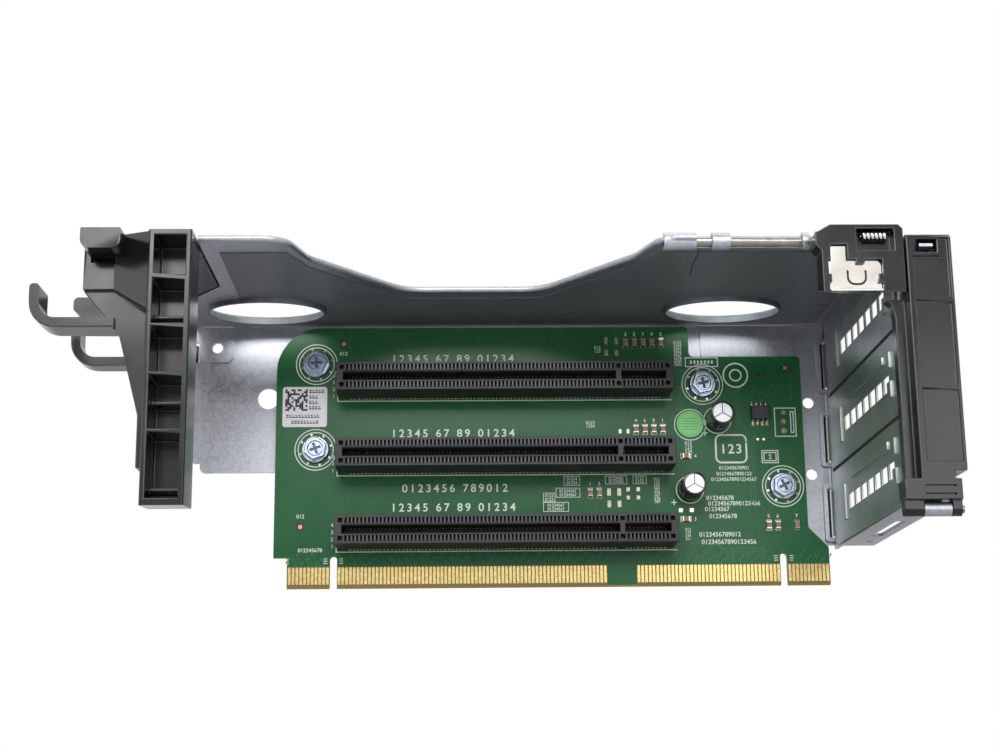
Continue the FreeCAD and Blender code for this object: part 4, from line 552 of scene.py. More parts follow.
roundedSet = [  # node, body, slot, finish, edge rounding, finish of the rounded edge, finish of a patch
    ("side_panel", "cage", "galvanised_sheet", "galvanised", 0.14),
    # the lips of the finger holes take the darker zinc: painted shade and reflection
    ("top_flange", "cage", "galvanised_sheet", "galvanised", 0.14, None, ("lip", onHoleLip)),
    ("insulator_film", "cage", "film", "film", 0.0),
    ("slot_connector_1", "cage", "socket", "nylon", 0.15),
    ("slot_connector_2", "cage", "socket", "nylon", 0.15),
    ("slot_connector_3", "cage", "socket", "nylon", 0.15),
    ("board_standoffs", "cage", "zinc_steel", "zinc", 0.1),
    ("slot_cover_1", "cage", "cover_sheet", "plated", 0.12),
    ("slot_cover_2", "cage", "cover_sheet", "plated", 0.12),
    ("slot_cover_3", "cage", "cover_sheet", "plated", 0.12),
    # black mouldings: rounded edges in the lighter edge finish, wear and painted highlight
    ("card_guide", "cage", "black_moulding", "black", 0.3, "wearAndHighlight"),
    ("latch_rod", "cage", "zinc_steel", "bright", 0.15),
    ("latch_bar_pin", "cage", "zinc_steel", "bright", 0.15),
    ("latch_block", "upper_latch", "black_moulding", "black", 0.22, "wearAndHighlight"),
    ("latch_clip_plate", "upper_latch", "nickel", "nickel", 0.14),
    ("latch_bar", "lower_latch", "black_moulding", "black", 0.28, "wearAndHighlight"),
]
for row in roundedSet:
    edgeRounded(*row)
print("edge-rounded pieces:", len(roundedSet))


# circuit board: green mask on both faces, bare laminate on the milled edges and the chamfer of the card edge

boardSet = {"faceTurn": 0.9}  # a face turned further from the front is an edge
boardLow, boardHigh = nodeBox("riser_board")
face, rear = boardLow.y, boardHigh.y
socketBoxes = [nodeBox("slot_connector_" + str(number)) for number in (1, 2, 3)]
work = bmesh.new()
work.from_mesh(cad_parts["riser_board"].data)
for side in work.faces:
    side.material_index = 0 if abs(side.normal.y) > boardSet["faceTurn"] else 1
makePiece("riser_board_shown", work, ["mask", "laminate"], "cage", ("riser_board",))
print("board face at", round(face, 2), "mm")


# board screws: washer, hexagon with a broken edge, dished middle and a cross recess cut into the dish

screwSet = {"washerThick": 0.9, "washerEdge": 0.25, "washerSteps": 40, "shank": 1.5, "shankSteps": 24,
            "flats": 5.5, "sidePoints": 4, "chamfer": 0.22, "topShare": 0.93, "turns": (20, 4, 12, 27),
            "dish": 2.1, "dishFloor": 1.86, "dishDeep": 0.34, "ringProud": 0.02, "ringSteps": 32,
            "crossDeep": 0.95, "crossWide": 0.74, "crossReach": 1.56, "crossSteps": 24, "arcSteps": 6,
            "smoothAngle": 25}
screwBoxes = solidBoxes("board_screws")
screwSpots = [roundPlace(low, high)[:2] for low, high in screwBoxes]
work = bmesh.new()
for (low, high), turn in zip(screwBoxes, screwSet["turns"]):
    x, z, radius = roundPlace(low, high)
    top, washerFront = low.y, face - screwSet["washerThick"]
    edge, shank = screwSet["washerEdge"], screwSet["shank"]
    washer = ((0, face), (radius, face), (radius, washerFront + edge), (radius - edge, washerFront),
              (0, washerFront))
    turnedForm(work, x, z, washer, screwSet["washerSteps"])
    turnedForm(work, x, z, ((0, high.y), (shank, high.y), (shank, face), (0, face)), screwSet["shankSteps"])
    count = 6 * screwSet["sidePoints"]
    hexagon, circle = [], []
    for i in range(count):
        angle = 2 * math.pi * i / count
        fromFlat = (math.degrees(angle) % 60) - 30
        reach = screwSet["flats"] / 2 / math.cos(math.radians(fromFlat))
        heading = angle + math.radians(turn)
        hexagon.append((reach * math.cos(heading), reach * math.sin(heading)))
        circle.append((math.cos(heading), math.sin(heading)))
    floorFront, floorBack = top + screwSet["dishDeep"], top + screwSet["crossDeep"]
    reach, dish, proud = screwSet["crossReach"], screwSet["dishFloor"], screwSet["ringProud"]
    levels = []
    for outline, scale, level in ((hexagon, 1.0, washerFront), (hexagon, 1.0, top + screwSet["chamfer"]),
                                  (hexagon, screwSet["topShare"], top), (circle, screwSet["dish"], top),
                                  (circle, dish, floorFront), (circle, dish, floorBack)):
        levels.append(([(x + a * scale, z + b * scale) for a, b in outline], level))
    loftedPlate(work, levels)
    flatRing(work, x, z, dish, dish - reach, floorFront - proud, floorBack, 0, screwSet["ringSteps"])
    # the floor of the cross takes the darkened zinc: painted shade in the recess
    flatDisc(work, x, z, reach, floorBack - proud, floorBack, 1, screwSet["crossSteps"])
    for quarter in range(4):
        # the cross is the gap between four quarters of the dish
        start = math.radians(turn + 90 * quarter)
        spare = math.asin(screwSet["crossWide"] / 2 / reach)
        outline = wedge(x, z, screwSet["crossWide"] / math.sqrt(2), reach, start, start + math.pi / 2, spare,
                        screwSet["arcSteps"])
        solidPlate(work, outline, floorFront, floorBack)
makePiece("board_screws_shown", work, ["zinc", "zincShade"], "cage", ("board_screws",),
          screwSet["smoothAngle"])
print("screws made:", len(screwSpots))


# gold fingers on both faces of the card edge, on a band that has no mask

fingerSet = {"pitch": 1.0, "wide": 0.7, "low": 1.05, "high": 5.55, "corner": 0.16, "proud": 0.04,
             "bandLow": 0.42, "bandHigh": 5.7, "bandProud": 0.03,
             "groups": ((-70.92, 11), (-57.92, 71), (20.92, 38), (60.92, 11))}  # first finger, fingers
work = bmesh.new()
fingerSpots = []
for first, count in fingerSet["groups"]:
    spread = fingerSet["pitch"] / 2
    last = first + (count - 1) * fingerSet["pitch"]
    left, right = max(first - spread, boardLow.x), last + spread
    band = boxOutline(left, fingerSet["bandLow"], right, fingerSet["bandHigh"])
    solidPlate(work, band, face - fingerSet["bandProud"], face, 1)
    solidPlate(work, band, rear, rear + fingerSet["bandProud"], 1)
    for i in range(count):
        x = first + i * fingerSet["pitch"]
        left, right = x - fingerSet["wide"] / 2, x + fingerSet["wide"] / 2
        if right > boardHigh.x:
            continue
        fingerSpots.append(x)
        low, high, cut = fingerSet["low"], fingerSet["high"], fingerSet["corner"]
        outline = [(left, low), (right, low), (right, high - cut), (right - cut, high), (left + cut, high),
                   (left, high - cut)]
        solidPlate(work, outline, face - fingerSet["proud"], face)
        solidPlate(work, outline, rear, rear + fingerSet["proud"])
makePiece("goldFingers", work, ["gold", "resin"], "cage")
print("gold fingers:", 2 * len(fingerSpots))


# copper tracks under the mask: short fan-out from the fingers, with a covered via at each end

trackSet = {"wide": 0.16, "proud": 0.022, "viaRadius": 0.27, "viaProud": 0.03, "viaSteps": 8, "overlap": 0.05,
            "rise": 0.5, "riseStep": 0.55, "lean": (0.9, 1.3), "leanShare": 0.8, "reachStep": 0.35,
            "top": 9.0, "middle": -22}
bundleSet = [  # long tracks between the parts at the right: first line, lines, step between lines
    (((33.2, 58.2), (33.2, 50.4), (32.4, 49.6), (32.4, 47.6)), 4, (0.55, 0.0)),
    (((48.6, 52.6), (48.6, 42.6), (50.2, 41.0), (50.2, 38.2)), 3, (0.6, 0.25)),
    (((53.0, 42.6), (53.0, 40.2), (51.6, 38.8), (51.6, 22.0)), 3, (0.6, 0.2)),
    (((46.0, 61.9), (59.4, 61.9), (63.6, 57.7), (63.6, 50.0)), 1, (0.0, 0.0)),
    (((34.6, 12.6), (40.8, 12.6), (43.4, 10.0), (54.0, 10.0)), 4, (0.3, -0.5)),
]
viaSpots = [(53.2, 52.6), (54.4, 53.5), (55.5, 52.2), (56.3, 53.8), (54.9, 51.2), (53.5, 50.6), (56.8, 51.0),
            (62.6, 32.4), (63.4, 20.2), (49.2, 28.4), (45.0, 29.6), (41.2, 33.0), (52.6, 16.2), (50.6, 13.4)]
trackLines = []
for i, x in enumerate(fingerSpots):
    turn = i % 4  # four lengths in turn
    start = fingerSet["high"] - trackSet["overlap"]
    knee = start + trackSet["rise"] + trackSet["riseStep"] * (turn % 2)
    lean = trackSet["lean"][turn // 2]
    heading = 1 if x > trackSet["middle"] else -1
    tip = (x + heading * lean * trackSet["leanShare"],
           min(knee + lean + trackSet["reachStep"] * turn, trackSet["top"]))
    trackLines.append(((x, start), (x, knee), tip))
    viaSpots.append(tip)
for line, count, step in bundleSet:
    for i in range(count):
        spots = [(x + i * step[0], z + i * step[1]) for x, z in line]
        trackLines.append(spots)
        viaSpots += [spots[0], spots[-1]]
work = bmesh.new()
for line in trackLines:
    solidPlate(work, ribbon(line, trackSet["wide"]), face - trackSet["proud"], face)
for x, z in viaSpots:
    flatDisc(work, x, z, trackSet["viaRadius"], face - trackSet["viaProud"], face, 0, trackSet["viaSteps"])
makePiece("coveredTracks", work, ["track"], "cage")
print("tracks and vias:", len(trackLines), len(viaSpots))


# solder and bare metal on the board: pads round the screws, targets, three empty pin holes, spare pads

padSet = {"proud": 0.04, "sunk": 0.02, "screwPads": 8, "screwPadFirst": 0.35, "screwPadCircle": 4.2,
          "screwPadRadius": 0.34, "targets": ((-57.3, 66.1), (-68.3, 16.3), (62.3, 58.9)),
          "targetRadius": 0.55, "targetSteps": 16, "targetClear": 1.25, "targetClearWide": 0.6,
          "targetClearSteps": 24, "pins": ((61.25, 46.5), (61.2, 44.05), (61.25, 41.5)), "pinRadius": 0.78,
          "pinSteps": 20, "pinHole": 0.42, "pinHoleSteps": 16, "spareRound": 0.15, "spareSteps": 2}
spareSet = (  # middle, width, height
    (13.8, 66.7, 1.0, 2.0), (16.6, 66.7, 1.0, 2.0), (13.8, 63.3, 1.0, 1.6), (16.6, 63.3, 1.0, 1.6),
    (13.6, 25.1, 1.0, 2.0), (16.3, 25.1, 1.0, 2.0), (13.6, 21.9, 1.0, 1.8), (16.3, 21.9, 1.0, 1.8),
    (18.7, 25.8, 0.9, 1.1), (21.4, 25.8, 0.9, 1.1), (18.7, 23.6, 0.9, 1.0), (21.4, 23.6, 0.9, 1.0),
    (32.6, 20.1, 1.1, 1.1), (35.5, 20.1, 1.1, 1.1), (17.0, 41.6, 0.8, 1.2), (19.1, 41.6, 0.8, 1.2),
    (54.0, 39.2, 0.7, 0.6), (55.6, 39.2, 0.7, 0.6), (54.6, 57.0, 1.3, 0.7), (56.6, 56.8, 1.0, 0.6))
work = bmesh.new()
front, sunkFront = face - padSet["proud"], face - padSet["sunk"]
for x, z in screwSpots:
    for i in range(padSet["screwPads"]):
        angle = 2 * math.pi * (i + padSet["screwPadFirst"]) / padSet["screwPads"]
        circle = padSet["screwPadCircle"]
        spot = (x + circle * math.cos(angle), z + circle * math.sin(angle))
        flatDisc(work, *spot, padSet["screwPadRadius"], front, face)
for x, z in padSet["targets"]:
    flatDisc(work, x, z, padSet["targetRadius"], front, face, 1, padSet["targetSteps"])
    flatRing(work, x, z, padSet["targetClear"], padSet["targetClearWide"], sunkFront, face, 2,
             padSet["targetClearSteps"])
for x, z in padSet["pins"]:
    flatRing(work, x, z, padSet["pinRadius"], padSet["pinRadius"] - padSet["pinHole"], front, face, 0,
             padSet["pinSteps"])
    flatDisc(work, x, z, padSet["pinHole"], sunkFront, face, 3, padSet["pinHoleSteps"])
for x, z, wide, high in spareSet:
    outline = roundOutline(x - wide / 2, z - high / 2, x + wide / 2, z + high / 2, padSet["spareRound"],
                           padSet["spareSteps"])
    solidPlate(work, outline, front, face)
makePiece("barePads", work, ["solder", "copper", "print", "laminate"], "cage")
print("bare pads:", len(screwSpots) * padSet["screwPads"] + len(spareSet))


# white ink of the board: rings, outlines, ticks and plain numbers only

inkSet = {"proud": 0.03, "line": 0.26, "smallHigh": 0.95, "run": "012345678901234567",
          "screwRings": (5.65, 4.8)}
work = bmesh.new()
front, inkLine, run = face - inkSet["proud"], inkSet["line"], inkSet["run"]
for x, z in screwSpots:
    for radius in inkSet["screwRings"]:
        flatRing(work, x, z, radius, inkLine, front, face)

# round the sockets: a corner line, a title above, four small digits beside
markSet = {"drop": 0.57, "over": (0.3, 0.9), "rise": 1.5, "title": "12345 67 89 01234",
           "titleAbove": (2.45, 2.2, 2.5), "titleHigh": 2.1, "titleSpread": 1.4, "titleMiddle": 30.7,
           "lone": ("0123456 789012", -27.4, 25.4), "digits": "1234", "digitsLeft": 1.0, "digitsLow": 0.3,
           "digitStep": 1.9, "ticks": 16, "tickFirst": 2.8, "tickPitch": 5.34, "tickWide": 1.15,
           "tickHigh": 0.42, "tickAbove": 1.3}
for (low, high), above in zip(socketBoxes, markSet["titleAbove"]):
    lineHigh = low.z - markSet["drop"]
    left, right = low.x - markSet["over"][0], high.x + markSet["over"][1]
    flatBox(work, left, lineHigh - inkLine, right, lineHigh, front, face)
    flatBox(work, left, lineHigh, left + inkLine, lineHigh + markSet["rise"], front, face)
    plainNumber(work, markSet["title"], low.x + markSet["titleMiddle"], high.z + above, markSet["titleHigh"],
                front, face, markSet["titleSpread"])
    for i, digit in enumerate(markSet["digits"]):
        z = low.z + markSet["digitsLow"] + markSet["digitStep"] * i
        plainNumber(work, digit, left - markSet["digitsLeft"], z, inkSet["smallHigh"], front, face)
plainNumber(work, *markSet["lone"], markSet["titleHigh"], front, face, markSet["titleSpread"])
low, high = socketBoxes[2]
for i in range(markSet["ticks"]):
    x = low.x + markSet["tickFirst"] + i * markSet["tickPitch"]
    z = high.z + markSet["tickAbove"]
    flatBox(work, x, z, x + markSet["tickWide"], z + markSet["tickHigh"], front, face)

# rows, columns and boxes of small numbers
rowSet = (  # middle, base, digits, height
    (47.3, 31.0, 12, 0.95), (47.2, 29.4, 14, 0.95), (47.1, 27.9, 18, 0.95), (43.2, 22.8, 9, 1.15),
    (46.9, 21.3, 17, 1.15), (42.3, 19.8, 8, 1.15), (43.8, 17.9, 9, 1.15), (42.8, 13.0, 13, 1.2),
    (45.1, 11.0, 17, 1.2), (-65.6, 9.6, 9, 1.0), (-68.3, 18.6, 3, 1.0), (-57.3, 62.9, 3, 1.0))
columnSet = (  # middle, highest base, rows, step, digits
    (33.2, 65.8, 8, 0.9, 4), (35.2, 37.8, 3, 1.1, 3), (26.4, 28.2, 8, 0.88, 3), (34.3, 14.6, 4, 0.85, 3),
    (9.0, 43.6, 2, 1.0, 4), (11.4, 64.4, 2, 1.0, 3))
boxSet = {"places": ((1.6, 26.9, 5.9, 29.5), (-0.6, 23.7, 5.9, 26.3), (-4.0, 19.9, 2.8, 22.5),
                     (-4.0, 22.5, -0.8, 25.0), (12.6, 27.2, 18.5, 29.5), (20.0, 27.2, 23.7, 29.5)),
          "lineShare": 0.6, "lowRow": 0.35, "highRow": 0.1, "digitWide": 0.8, "digitHigh": 0.8,
          "stepShare": 0.85}
for x, z, count, tall in rowSet:
    plainNumber(work, run[:count], x, z, tall, front, face)
for x, z, count, step, digits in columnSet:
    for i in range(count):
        plainNumber(work, run[i:i + digits], x, z - i * step, step * boxSet["stepShare"], front, face)
for left, low, right, high in boxSet["places"]:
    flatFrame(work, left, low, right, high, inkLine * boxSet["lineShare"], front, face)
    for z in (low + boxSet["lowRow"], (low + high) / 2 + boxSet["highRow"]):
        plainNumber(work, run[:int((right - left) / boxSet["digitWide"])], (left + right) / 2, z,
                    boxSet["digitHigh"], front, face)

# rings and plus signs of the cans, ring of the sticker
canMarkSet = {"clear": 0.62, "plusSpots": ((39.8, 41.0), (30.85, 22.2)), "plusReach": 0.75, "dotClear": 0.75,
              "dotDrop": 0.2}
for node, (x, z) in zip(("bulk_capacitor_1", "bulk_capacitor_2"), canMarkSet["plusSpots"]):
    canX, canZ, radius = roundPlace(*nodeBox(node))
    flatRing(work, canX, canZ, radius + canMarkSet["clear"], inkLine, front, face)
    reach, half = canMarkSet["plusReach"], inkLine / 2
    flatBox(work, x - reach, z - half, x + reach, z + half, front, face)
    flatBox(work, x - half, z + half, x + half, z + reach, front, face)
    flatBox(work, x - half, z - reach, x + half, z - half, front, face)
x, z, radius = roundPlace(*nodeBox("inspection_dot"))
flatRing(work, x, z - canMarkSet["dotDrop"], radius + canMarkSet["dotClear"], inkLine, front, face)

# frames, target and rounded plaque at the right, ticks beside the notches of the card edge
frameSet = {"pinBox": (58.7, 39.85, 64.6, 47.85), "pinStrip": (63.0, 40.9, 64.0, 46.9),
            "doubleBox": (54.8, 32.65, 59.4, 36.2), "doubleGap": 0.55, "doubleDrop": 0.6, "doubleHigh": 1.2,
            "tickBox": (35.1, 59.25, 44.1, 61.95), "boxTicks": 7, "boxTickFirst": 1.4, "boxTickPitch": 0.95,
            "boxTickWide": 0.5, "boxTickIn": 0.9, "target": (48.7, 56.9), "targetRadii": (3.5, 1.75),
            "targetLine": 0.42, "plaque": (42.6, 32.9, 50.8, 40.4), "plaqueRound": 1.4, "plaqueLine": 0.5,
            "plaqueDigits": "123", "digitFirst": 2.0, "digitPitch": 2.1, "digitBase": 2.5, "digitHigh": 2.5,
            "notches": (-71.6, -61.5, -57.35, 57.35, 61.5), "notchTicks": 3, "notchLow": 6.5,
            "notchPitch": 0.6, "notchHalf": 0.5, "notchHigh": 0.22}
for name in ("pinBox", "pinStrip", "doubleBox", "tickBox"):
    flatFrame(work, *frameSet[name], inkLine, front, face)
left, low, right, high = frameSet["doubleBox"]
gap = frameSet["doubleGap"]
flatFrame(work, left + gap, low + gap, right - gap, high - gap, inkLine, front, face)
plainNumber(work, "2", (left + right) / 2, (low + high) / 2 - frameSet["doubleDrop"],
            frameSet["doubleHigh"], front, face)
left, low, right, high = frameSet["tickBox"]
for i in range(frameSet["boxTicks"]):
    x = left + frameSet["boxTickFirst"] + i * frameSet["boxTickPitch"]
    flatBox(work, x, low + frameSet["boxTickIn"], x + frameSet["boxTickWide"], high - frameSet["boxTickIn"],
            front, face)
for radius in frameSet["targetRadii"]:
    flatRing(work, *frameSet["target"], radius, frameSet["targetLine"], front, face)
left, low, right, high = frameSet["plaque"]
outline = roundOutline(left, low, right, high, frameSet["plaqueRound"])
lineRound(work, outline, frameSet["plaqueLine"], front, face)
for i, digit in enumerate(frameSet["plaqueDigits"]):
    plainNumber(work, digit, left + frameSet["digitFirst"] + i * frameSet["digitPitch"],
                low + frameSet["digitBase"], frameSet["digitHigh"], front, face)
for x in frameSet["notches"]:
    for i in range(frameSet["notchTicks"]):
        z = frameSet["notchLow"] + i * frameSet["notchPitch"]
        flatBox(work, x - frameSet["notchHalf"], z, x + frameSet["notchHalf"], z + frameSet["notchHigh"],
                front, face)

# one digit at each chip capacitor, above it or beside it
capMarkSet = {"above": 1.0, "beside": 1.5, "drop": 0.45, "last": 9}
capBoxes = solidBoxes("chip_capacitors")
for i, (low, high) in enumerate(capBoxes):
    upright = high.z - low.z > high.x - low.x
    x = (low.x + high.x) / 2 if upright else high.x + capMarkSet["beside"]
    z = high.z + capMarkSet["above"] if upright else (low.z + high.z) / 2 - capMarkSet["drop"]
    plainNumber(work, str(i % capMarkSet["last"] + 1), x, z, inkSet["smallHigh"], front, face)
makePiece("boardInk", work, ["ink"], "cage")
print("white ink laid")


# card sockets: thin walls between the contact pockets, gilt springs in the mouth, soldered tails

socketSet = {"firstPin": 3.0, "runs": ((0, 71), (73, 11)), "pitch": 1.0, "row": 2.35,  # runs: first pin, pins
             "wall": 0.44, "wallHalf": 0.74, "wallTop": 0.07, "wallDeep": 2.15,
             "mouthHalf": 0.95, "springProud": 0.14, "springTop": 6.3, "springDeep": 7.8, "springHalf": 0.2,
             "tailRadius": 0.36, "tailHigh": 0.42, "tailDrop": 0.08, "tailShoulder": (0.8, 0.5),
             "tailSteps": 10, "postHalf": 0.22, "postLong": 0.9}
walls, contacts = bmesh.new(), bmesh.new()
for low, high in socketBoxes:
    middle = (low.z + high.z) / 2
    for start, count in socketSet["runs"]:
        for i in range(count):
            x = low.x + socketSet["firstPin"] + (start + i) * socketSet["pitch"]
            between = x + socketSet["pitch"] / 2
            for side in (-1, 1):
                z = middle + side * socketSet["row"]
                if i + 1 < count:
                    outline = boxOutline(between - socketSet["wall"] / 2, z - socketSet["wallHalf"],
                                         between + socketSet["wall"] / 2, z + socketSet["wallHalf"])
                    solidPlate(walls, outline, low.y + socketSet["wallTop"], low.y + socketSet["wallDeep"])
                half = socketSet["springHalf"]
                edges = sorted((middle + side * socketSet["mouthHalf"],
                                middle + side * (socketSet["mouthHalf"] - socketSet["springProud"])))
                outline = boxOutline(x - half, edges[0], x + half, edges[1])
                solidPlate(contacts, outline, low.y + socketSet["springTop"], low.y + socketSet["springDeep"])
                half = socketSet["postHalf"]
                outline = boxOutline(x - half, z - half, x + half, z + half)
                solidPlate(contacts, outline, rear, rear + socketSet["postLong"], 1)
            radius, tall = socketSet["tailRadius"], socketSet["tailHigh"]
            wideShare, highShare = socketSet["tailShoulder"]
            tail = ((0, face), (radius, face), (radius * wideShare, face - tall * highShare),
                    (0, face - tall))
            turnedForm(contacts, between, low.z - socketSet["tailDrop"], tail, socketSet["tailSteps"], 1)
# the walls take the greyer nylon: painted light
makePiece("socketWalls", walls, ["partition"], "cage")
makePiece("socketContacts", contacts, ["gold", "solder"], "cage")
print("socket walls and contacts made")


# can capacitors: sleeve rolled over the rim, crimped neck, aluminium top with a vent score in three lines

canSet = {"footRound": 0.2, "seat": 0.9, "neckTop": 1.6, "neckIn": 0.25, "neckLow": 0.3, "neckHigh": 0.35,
          "rimRound": 0.35, "rimTurn": (0.1, 0.3), "rimIn": 0.62, "rimDip": 0.02, "topSink": 0.16,
          "well": 0.3, "score": 0.26, "scoreSink": 0.1, "landDeep": 0.32, "landClear": 0.02,
          "landSteps": 12, "steps": 40}
for node in ("bulk_capacitor_1", "bulk_capacitor_2"):
    low, high = nodeBox(node)
    (x, z, radius), top = roundPlace(low, high), low.y
    inner, sink, neck = radius - canSet["rimIn"], top + canSet["topSink"], radius - canSet["neckIn"]
    rimRound, (turnIn, turnShare) = canSet["rimRound"], canSet["rimTurn"]
    work = bmesh.new()
    sleeve = ((0, face), (radius - canSet["footRound"], face), (radius, face - canSet["footRound"]),
              (radius, face - canSet["seat"]), (neck, face - canSet["seat"] - canSet["neckLow"]),
              (neck, face - canSet["neckTop"]), (radius, face - canSet["neckTop"] - canSet["neckHigh"]),
              (radius, top + rimRound), (radius - turnIn, top + rimRound * turnShare),
              (radius - rimRound, top), (inner, top + canSet["rimDip"]), (inner, sink + canSet["well"]),
              (0, sink + canSet["well"]))
    turnedForm(work, x, z, sleeve, canSet["steps"])
    reach, floorBack = inner - canSet["landClear"], sink + canSet["landDeep"]
    for third in range(3):
        # each third of the top is its own land, the score lines are the gaps between them
        start, end = [math.radians(90 + 120 * (third + k)) for k in (0, 1)]
        tip = canSet["score"] / 2 / math.sin(math.radians(60))
        outline = wedge(x, z, tip, reach, start, end, canSet["score"] / 2 / reach, canSet["landSteps"])
        solidPlate(work, outline, sink, floorBack, 1)
    # the disc under the lands shows in the score lines in the darker finish: painted shade of the groove
    flatDisc(work, x, z, reach, sink + canSet["scoreSink"], floorBack, 2, canSet["steps"])
    makePiece(node + "_shown", work, ["sleeve", "aluminium", "scoreShade"], "cage", (node,))
print("can capacitors made")


# small chip: drafted epoxy case with an index dimple, gull-wing leads soldered to their pads

chipSet = {"draft": 0.22, "topEdge": 0.06, "topBreak": 0.08, "dimple": 0.45, "dimpleIn": 1.0,
           "dimpleProud": 0.01, "dimpleDeep": 0.02, "dimpleSteps": 20, "leadWide": 0.42, "leadThick": 0.2,
           "leadTop": 0.95, "root": 0.15, "shoulder": 0.45, "bend": 0.12, "solderGap": 0.02,
           "padMore": 0.12, "padNear": 0.1, "padFar": 0.35, "padProud": 0.03}
chipBoxes = solidBoxes("logic_chip")
caseLow, caseHigh = max(chipBoxes, key=lambda box: (box[1] - box[0]).y * (box[1] - box[0]).x)
leadBoxes = [box for box in chipBoxes if box[0] != caseLow]
work = bmesh.new()
draft, seam = chipSet["draft"], (caseLow.y + caseHigh.y) / 2
levels = []
for inset, level in ((draft, caseHigh.y), (0.0, seam), (draft, caseLow.y + chipSet["topEdge"]),
                     (draft + chipSet["topBreak"], caseLow.y)):
    outline = boxOutline(caseLow.x + inset, caseLow.z + inset, caseHigh.x - inset, caseHigh.z - inset)
    levels.append((outline, level))
loftedPlate(work, levels)
flatDisc(work, caseLow.x + chipSet["dimpleIn"], caseLow.z + chipSet["dimpleIn"], chipSet["dimple"],
         caseLow.y - chipSet["dimpleProud"], caseLow.y + chipSet["dimpleDeep"], 2, chipSet["dimpleSteps"])
upper, thick, lower = face - chipSet["leadTop"], chipSet["leadThick"], face - chipSet["solderGap"]
for low, high in leadBoxes:
    x, half = (low.x + high.x) / 2, chipSet["leadWide"] / 2
    for side, edge, tip in ((-1, caseLow.z, low.z), (1, caseHigh.z, high.z)):
        knee, lean = edge + side * chipSet["shoulder"], side * chipSet["bend"]
        root = edge - side * chipSet["root"]
        lead = ((upper, root), (upper, knee), (face - thick, knee + lean), (face - thick, tip), (lower, tip),
                (lower, knee - lean), (upper + thick, knee - side * thick), (upper + thick, root))
        solidPlate(work, lead, x - half, x + half, 1, "x")
        padHalf = half + chipSet["padMore"]
        edges = sorted((knee - side * chipSet["padNear"], tip + side * chipSet["padFar"]))
        flatBox(work, x - padHalf, edges[0], x + padHalf, edges[1], face - chipSet["padProud"], face, 1)
makePiece("logic_chip_shown", work, ["epoxy", "solder", "print"], "cage", ("logic_chip",))
print("chip leads:", 2 * len(leadBoxes))


# chip capacitors: fired ceramic body between plated ends, on pads with a solder fillet

capSet = {"end": 0.36, "bodyIn": 0.04, "lift": 0.03, "padReach": 0.42, "padMore": 0.08, "padProud": 0.03,
          "fillet": 0.34, "filletMiddle": (0.12, 0.5), "filletTop": 0.25, "filletIn": 0.05}


def alongCap(upright, near, far, crossLow, crossHigh):  # box by its long and short sides
    if upright:
        return boxOutline(crossLow, near, crossHigh, far)
    return boxOutline(near, crossLow, far, crossHigh)


work = bmesh.new()
for low, high in capBoxes:
    upright = high.z - low.z > high.x - low.x
    start, end = (low.z, high.z) if upright else (low.x, high.x)
    crossLow, crossHigh = (low.x, high.x) if upright else (low.z, high.z)
    inset, cap, padFront = capSet["bodyIn"], capSet["end"], face - capSet["padProud"]
    body = alongCap(upright, start + cap, end - cap, crossLow + inset, crossHigh - inset)
    solidPlate(work, body, low.y + inset, high.y)
    for near, far in ((start, start + cap), (end - cap, end)):
        solidPlate(work, alongCap(upright, near, far, crossLow, crossHigh), low.y, high.y - capSet["lift"], 1)
    for edge, side in ((start, -1), (end, 1)):
        more, fillet, inner = capSet["padMore"], side * capSet["fillet"], capSet["filletIn"]
        edges = sorted((edge - side * cap, edge + side * capSet["padReach"]))
        solidPlate(work, alongCap(upright, *edges, crossLow - more, crossHigh + more), padFront, face, 1)
        rise, share = capSet["filletMiddle"]
        slope = [(padFront, edge), (padFront, edge + fillet), (face - rise, edge + fillet * share),
                 (low.y + capSet["filletTop"], edge)]
        if not upright:
            slope = [(b, a) for a, b in slope]
        solidPlate(work, slope, crossLow + inner, crossHigh - inner, 1, "x" if upright else "z")
makePiece("chip_capacitors_shown", work, ["ceramic", "solder"], "cage", ("chip_capacitors",))
print("chip capacitors:", len(capBoxes))


# paper label with a field of random squares and rows of dashes

labelSet = {"round": 0.7, "ink": 0.012, "seed": 11, "cells": 11, "cell": 0.54, "cellShare": 0.98,
            "filled": 0.52, "fieldLeft": 0.7, "fieldTop": 0.65, "dash": 0.64, "dashGap": 0.18,
            "dashHigh": 0.86, "lowShare": 0.4, "highShare": 0.62, "longShare": (0.4, 1.0),
            "rows": ((7.1, 9.3, 4.2), (7.1, 7.8, 3.0), (7.1, 6.3, 2.5), (7.1, 4.8, 3.6), (1.0, 2.5, 9.8),
                     (2.4, 0.9, 7.9))}  # left, base, length
low, high = nodeBox("board_label")
draw = random.Random(labelSet["seed"])
front, back, cell = low.y, low.y + labelSet["ink"], labelSet["cell"]
work = bmesh.new()
solidPlate(work, roundOutline(low.x, low.z, high.x, high.z, labelSet["round"]), back, high.y)
for row in range(labelSet["cells"]):
    for column in range(labelSet["cells"]):
        if draw.random() < labelSet["filled"]:
            x = low.x + labelSet["fieldLeft"] + column * cell
            z = high.z - labelSet["fieldTop"] - (row + 1) * cell
            wide = cell * labelSet["cellShare"]
            flatBox(work, x, z, x + wide, z + wide, front, back, 1)
for x, z, long in labelSet["rows"]:
    dash, tall = labelSet["dash"], labelSet["dashHigh"]
    step = dash + labelSet["dashGap"]
    for i in range(int(long / step)):
        left, base = low.x + x + i * step, low.z + z
        flatBox(work, left, base, left + dash, base + tall * labelSet["lowShare"], front, back, 1)
        wide = dash * draw.uniform(*labelSet["longShare"])
        flatBox(work, left, base + tall * labelSet["highShare"], left + wide, base + tall, front, back, 1)
makePiece("board_label_shown", work, ["paper", "print"], "cage", ("board_label",))

